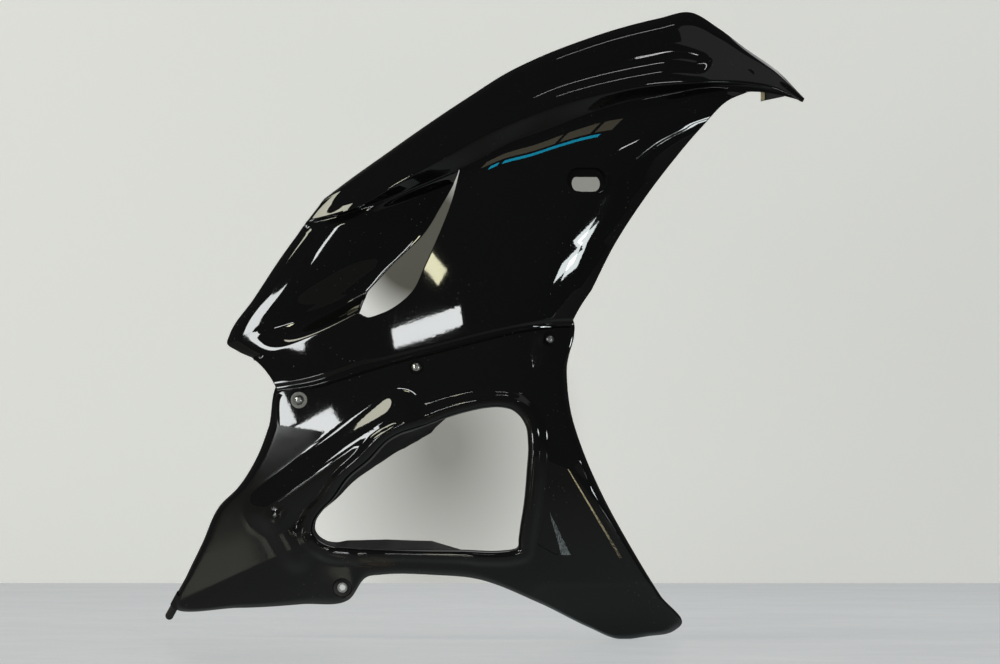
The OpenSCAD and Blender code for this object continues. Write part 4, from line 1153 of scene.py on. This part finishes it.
# %% [markdown]
# The screws, the ring, the clip nuts and the collar are steel under a thin bright zinc plate.
# Turned and pressed faces keep fine lines, and handling leaves dull grey patches. Noise that is
# stretched in one direction draws the lines, which real tool marks are too fine to be modelled as.

# %% zinc plated steel
def zinc(name, tone, rough):
    finish = Finish(name, Metallic=1.0)
    patch = finish.ramp(finish.noise(260, 4, 0.6), (0.35, 0), (0.7, 1))
    lines = finish.noise(1, 2, 0.5, finish.stretched((500, 5200, 500)))
    finish.set("Base Color", finish.blend(patch, tone, tuple(c * 0.72 for c in tone[:3]) + (1,)))
    finish.set("Roughness", rough + patch * 0.12 + lines * 0.08)
    finish.bump(lines + finish.noise(3200, 2, 0.5) * 0.4, 0.000012, 0.7)
    return finish.ready()


screw_zinc = zinc("screw_steel", (0.68, 0.68, 0.66, 1), 0.2)
ring_zinc = zinc("ring_steel", (0.42, 0.42, 0.40, 1), 0.34)
clip_zinc = zinc("clip_steel", (0.50, 0.50, 0.47, 1), 0.3)
collar_zinc = zinc("collar_steel", (0.66, 0.66, 0.64, 1), 0.24)


# %% [markdown]
# Rubber is dull, with a faint bloom where it has aged. The foam strip on the nose bracket is an
# open sponge in a yellowed cream: deep pores in a soft ground.

# %% rubber and foam
def rubber(name, level):
    finish = Finish(name, IOR=1.5)
    bloom = finish.ramp(finish.noise(70, 4, 0.6), (0.4, 0), (0.75, 1))
    finish.set("Base Color", finish.blend(bloom * 0.5, grey(level), grey(level * 2.6, 0.04)))
    finish.set("Roughness", 0.5 + bloom * 0.25)
    finish.bump(finish.noise(1400, 3, 0.6) + finish.noise(240, 2, 0.5), 0.00004, 0.6)
    return finish.ready()


grommet_black = rubber("grommet_rubber", 0.02)
peg_black = rubber("peg_rubber", 0.024)
foam = Finish("foam", IOR=1.4)
pores = foam.ramp(foam.cells(900), (0.0, 0), (0.45, 1))
stain = foam.noise(90, 3, 0.6)
foam.set("Base Color", foam.blend(pores, (0.20, 0.15, 0.07, 1), (0.62, 0.53, 0.30, 1)))
foam.set("Roughness", 0.85 + stain * 0.1)
foam.bump(pores + stain * 0.5, 0.0005, 0.9)
foam_cream = foam.ready()

# %% [markdown]
# The three shells and the films are new pieces and take their finish whole. The small hardware
# comes from the frame with its shape right, so only its slots get a better material.

# %% finishes onto the pieces and the carried nodes
film_made = {"film_bronze": bronze_film, "film_blue": blue_film}
for piece, made in ([(upper, upper_black), (lower, lower_black), (trim, trim_black_shaded)]
                    + [(piece, film_made[name]) for piece, name in films.items()]):
    piece.data.materials.clear()
    piece.data.materials.append(made)
dress = {screw_zinc: ("front_screw", "middle_screw", "rear_screw"), ring_zinc: ("rear_ring",),
         clip_zinc: ("front_clip_nut", "middle_clip_nut", "rear_clip_nut"),
         collar_zinc: ("lower_collar",), grommet_black: ("lower_grommet",),
         peg_black: ("locating_peg",), bracket_black: ("tip_bracket",), foam_cream: ("tip_foam",),
         rivet_black: ("trim_rivet_top", "trim_rivet_rear", "trim_rivet_bottom", "tip_rivet")}
for made, nodes in dress.items():
    for node in nodes:
        for held in frame["nodes"][node].material_slots:
            held.material = made
print("carried nodes dressed:", sum(map(len, dress.values())))

# %% [markdown]
# The cover stands before a white wall on a pale, shiny table top. Both are plain boards. What the
# camera sees of them is set apart from what the cover mirrors: seen straight they are pale, but
# in the gloss they are dim, so that the black stays black. From behind, the wall is clear, and
# the back of the cover can be looked at too.

# %% boards that look pale and mirror dim
BENCH, LEFT, RIGHT, NEAR, WALL_Y, CEILING = float(low[2]), -3, 3.4, -0.75, 2.04, 3


def board(name, corners, made):
    piece = solid(name, np.array(corners) * 1000, [(0, 1, 2, 3)])
    piece.data.materials.append(made)
    print(name, "metres:", [round(c, 2) for c in piece.dimensions])


def seen_by_camera(finish, pale, dim):
    return finish.blend(finish.node("LightPath", output=0), dim, pale)


# %% [markdown]
# Through the cover's three openings the wall looks darker, because the cover stands close to it
# and shades it. The wall here is two metres away, so that it stays even all round, and the soft
# shades behind the window, the outlet and the lamp hole are part of its paint.

# %% the wall
SHADES = (((0.10, 0, 0.13), (0.19, 0, 0.26), 0.9, 0.66),
          ((0.065, 0, 0.405), (0.11, 0, 0.12), 0.45, 0.93),
          ((0.289, 0, 0.483), (0.055, 0, 0.055), 0.5, 0.66))
paint = Finish("wall_paint", IOR=1.45, Emission_Strength=1.0)
lit = 1
for centre, radii, full, depth in SHADES:
    lit = lit * (1 - paint.soft_spot(centre, radii, full) * depth)
mottle, shade = paint.noise(1.4, 3, 0.5), 1 - lit
white = paint.blend(mottle, (0.80, 0.805, 0.78, 1), (0.85, 0.855, 0.835, 1))
shaded = paint.blend(shade, white, (0.06, 0.055, 0.035, 1))
glow = paint.blend(shade, (0.41, 0.415, 0.40, 1), (0.02, 0.019, 0.012, 1))
paint.set("Base Color", seen_by_camera(paint, shaded, grey(0.25)))
paint.set("Emission Color", seen_by_camera(paint, glow, grey(0)))
paint.set("Roughness", 0.75 + mottle * 0.1)
paint.set("Alpha", 1 - paint.node("NewGeometry", output=6))
board("wall", [(LEFT, WALL_Y, BENCH), (RIGHT, WALL_Y, BENCH), (RIGHT, WALL_Y, CEILING),
               (LEFT, WALL_Y, CEILING)], paint.ready())

# %% [markdown]
# The table top is smeared a little, which breaks up what it mirrors. In the gloss it shows only
# a weak glow near the cover: that is the grey which the lower faces of the pod and the leg mirror.

# %% the table top
top = Finish("table_top", IOR=1.45, Emission_Strength=1.0)
smear = top.ramp(top.noise(5, 5, 0.6), (0.4, 0), (0.8, 1))
pale = top.blend(smear, (0.56, 0.575, 0.585, 1), (0.60, 0.61, 0.615, 1))
glow = top.blend(top.soft_spot((0.25, 0, 0), (0.8, 0.45, 0), 0.8), grey(0),
                 (0.13, 0.155, 0.155, 1))
top.set("Base Color", seen_by_camera(top, pale, grey(0.4)))
top.set("Emission Color", seen_by_camera(top, (0.40, 0.415, 0.42, 1), glow))
top.set("Roughness", 0.16 + smear * 0.12)
board("table", [(LEFT, NEAR, BENCH), (RIGHT, NEAR, BENCH), (RIGHT, WALL_Y, BENCH),
                (LEFT, WALL_Y, BENCH)], top.ready())

# %% [markdown]
# The rest of the room is a dim, slightly blue grey, even on all sides. An environment picture
# would put more into the gloss than the photograph shows there.

# %% the dim room
world = bpy.data.worlds.new("room")
bpy.context.scene.world = world
world.use_nodes = True
room = world.node_tree.nodes["Background"]
room.inputs["Color"].default_value = (0.055, 0.056, 0.06, 1)
room.inputs["Strength"].default_value = 1.0
print("room:", [round(c, 3) for c in room.inputs["Color"].default_value])

# %% [markdown]
# A black gloss face shows lamps and little else, so every bright patch on it is a lamp of the same
# shape: a window with its panes to each side, tubes overhead, one warm lamp. Each was placed by
# following a line of sight from the camera to the patch and onwards as a mirror sends it. A lamp
# is given by that direction, how far off it stands, its size, its power in watts, its tone, its
# roll, and the place on the face that it aims at. Two weak ones light the back and the wall.

# %% a lamp by its direction
COOL, PALE_BLUE = (0.97, 1, 1), (0.93, 1, 1)
MIDDLE = Vector((0.17, -0.04, 0.28))


def lamp(name, azimuth, elevation, away, size, power, tone=(1, 1, 1), roll=0.0, aim=MIDDLE):
    a, e = math.radians(azimuth), math.radians(elevation)
    data = bpy.data.lights.new(name, "AREA")
    data.shape, data.size, data.size_y = "RECTANGLE", size[0], size[1]
    data.energy, data.color = power, tone
    piece = bpy.data.objects.new(name, data)
    bpy.context.scene.collection.objects.link(piece)
    way = Vector((math.sin(a) * math.cos(e), -math.cos(a) * math.cos(e), math.sin(e)))
    piece.location = aim + way * away
    piece.rotation_euler = way.to_track_quat("Z", "Y").to_euler()
    piece.rotation_euler.rotate_axis("Z", math.radians(roll))
    print(name, "at", [round(c, 2) for c in piece.location], "with", power, "watts")


# %% the windows, tubes and washes of the room
WING, FACE, FRONT, POD, NOSE, REAR = (Vector(p) for p in (
    (-0.084, -0.028, 0.304), (0.093, -0.083, 0.288), (0.259, -0.08, 0.373),
    (-0.027, -0.045, 0.171), (0.340, -0.05, 0.585), (0.0, -0.05, 0.42)))
ABOVE_FACE = FACE + Vector((0, 0, 0.06))
lamp("window_far_left", -47, 2.5, 4, (0.9, 0.4), 19, COOL, roll=-12, aim=WING)
lamp("window_left", -19.9, 2.0, 4, (0.98, 0.19), 10.5, COOL, roll=13, aim=FACE)
lamp("warm_lamp", -19.1, 9.4, 2.4, (0.24, 0.12), 1.7, (1, 0.97, 0.66), roll=-39, aim=ABOVE_FACE)
lamp("window_right", 37.4, -6.6, 4, (0.80, 0.21), 9.6, PALE_BLUE, roll=-5, aim=FRONT)
lamp("window_right_near", 43.1, -9.0, 1.6, (0.28, 0.10), 1.6, PALE_BLUE, roll=-5, aim=FRONT)
lamp("window_low", -40.5, -13.8, 4, (0.62, 0.30), 10.5, COOL, roll=24, aim=POD)
lamp("window_low_side", -46.5, -10, 4, (0.22, 0.42), 5, COOL, roll=20, aim=POD)
lamp("rear_tube", -66, 28, 4, (1.3, 1.0), 42, (1, 0.99, 0.8), aim=REAR)
lamp("thin_tube", 23.5, 16, 4, (0.34, 0.12), 2, aim=NOSE)
lamp("channel_tube", 4, 65, 4, (1.5, 0.10), 6, aim=NOSE)
lamp("nose_glow", 57, 43, 4, (2.6, 1.5), 3.6, aim=NOSE)
lamp("back_fill", 160, 38, 1.7, (1.4, 0.6), 4)
lamp("wall_wash", 180, 55, 1.9, (2.2, 0.6), 80, aim=Vector((0.2, 1.75, 0.4)))

# %% [markdown]
# The photograph was taken square to the wall, from a few metres away, with next to no perspective.
# The camera therefore stands nine metres off with a long lens, and the lens follows from the width
# of the picture where the cover stands.

# %% the camera
SENSOR, AWAY, SEEN_WIDTH = 36, 9, 1.097
camera = bpy.data.objects.new("camera", bpy.data.cameras.new("camera"))
bpy.context.scene.collection.objects.link(camera)
bpy.context.scene.camera = camera
camera.location = (0.1737, -9.04, 0.2817)
camera.rotation_euler = (math.pi / 2, 0, 0)
camera.data.sensor_width = SENSOR
camera.data.lens = SENSOR * AWAY / SEEN_WIDTH
camera.data.clip_end = 60
bpy.context.scene.view_settings.view_transform = "Standard"
print("lens, mm:", round(camera.data.lens, 1))
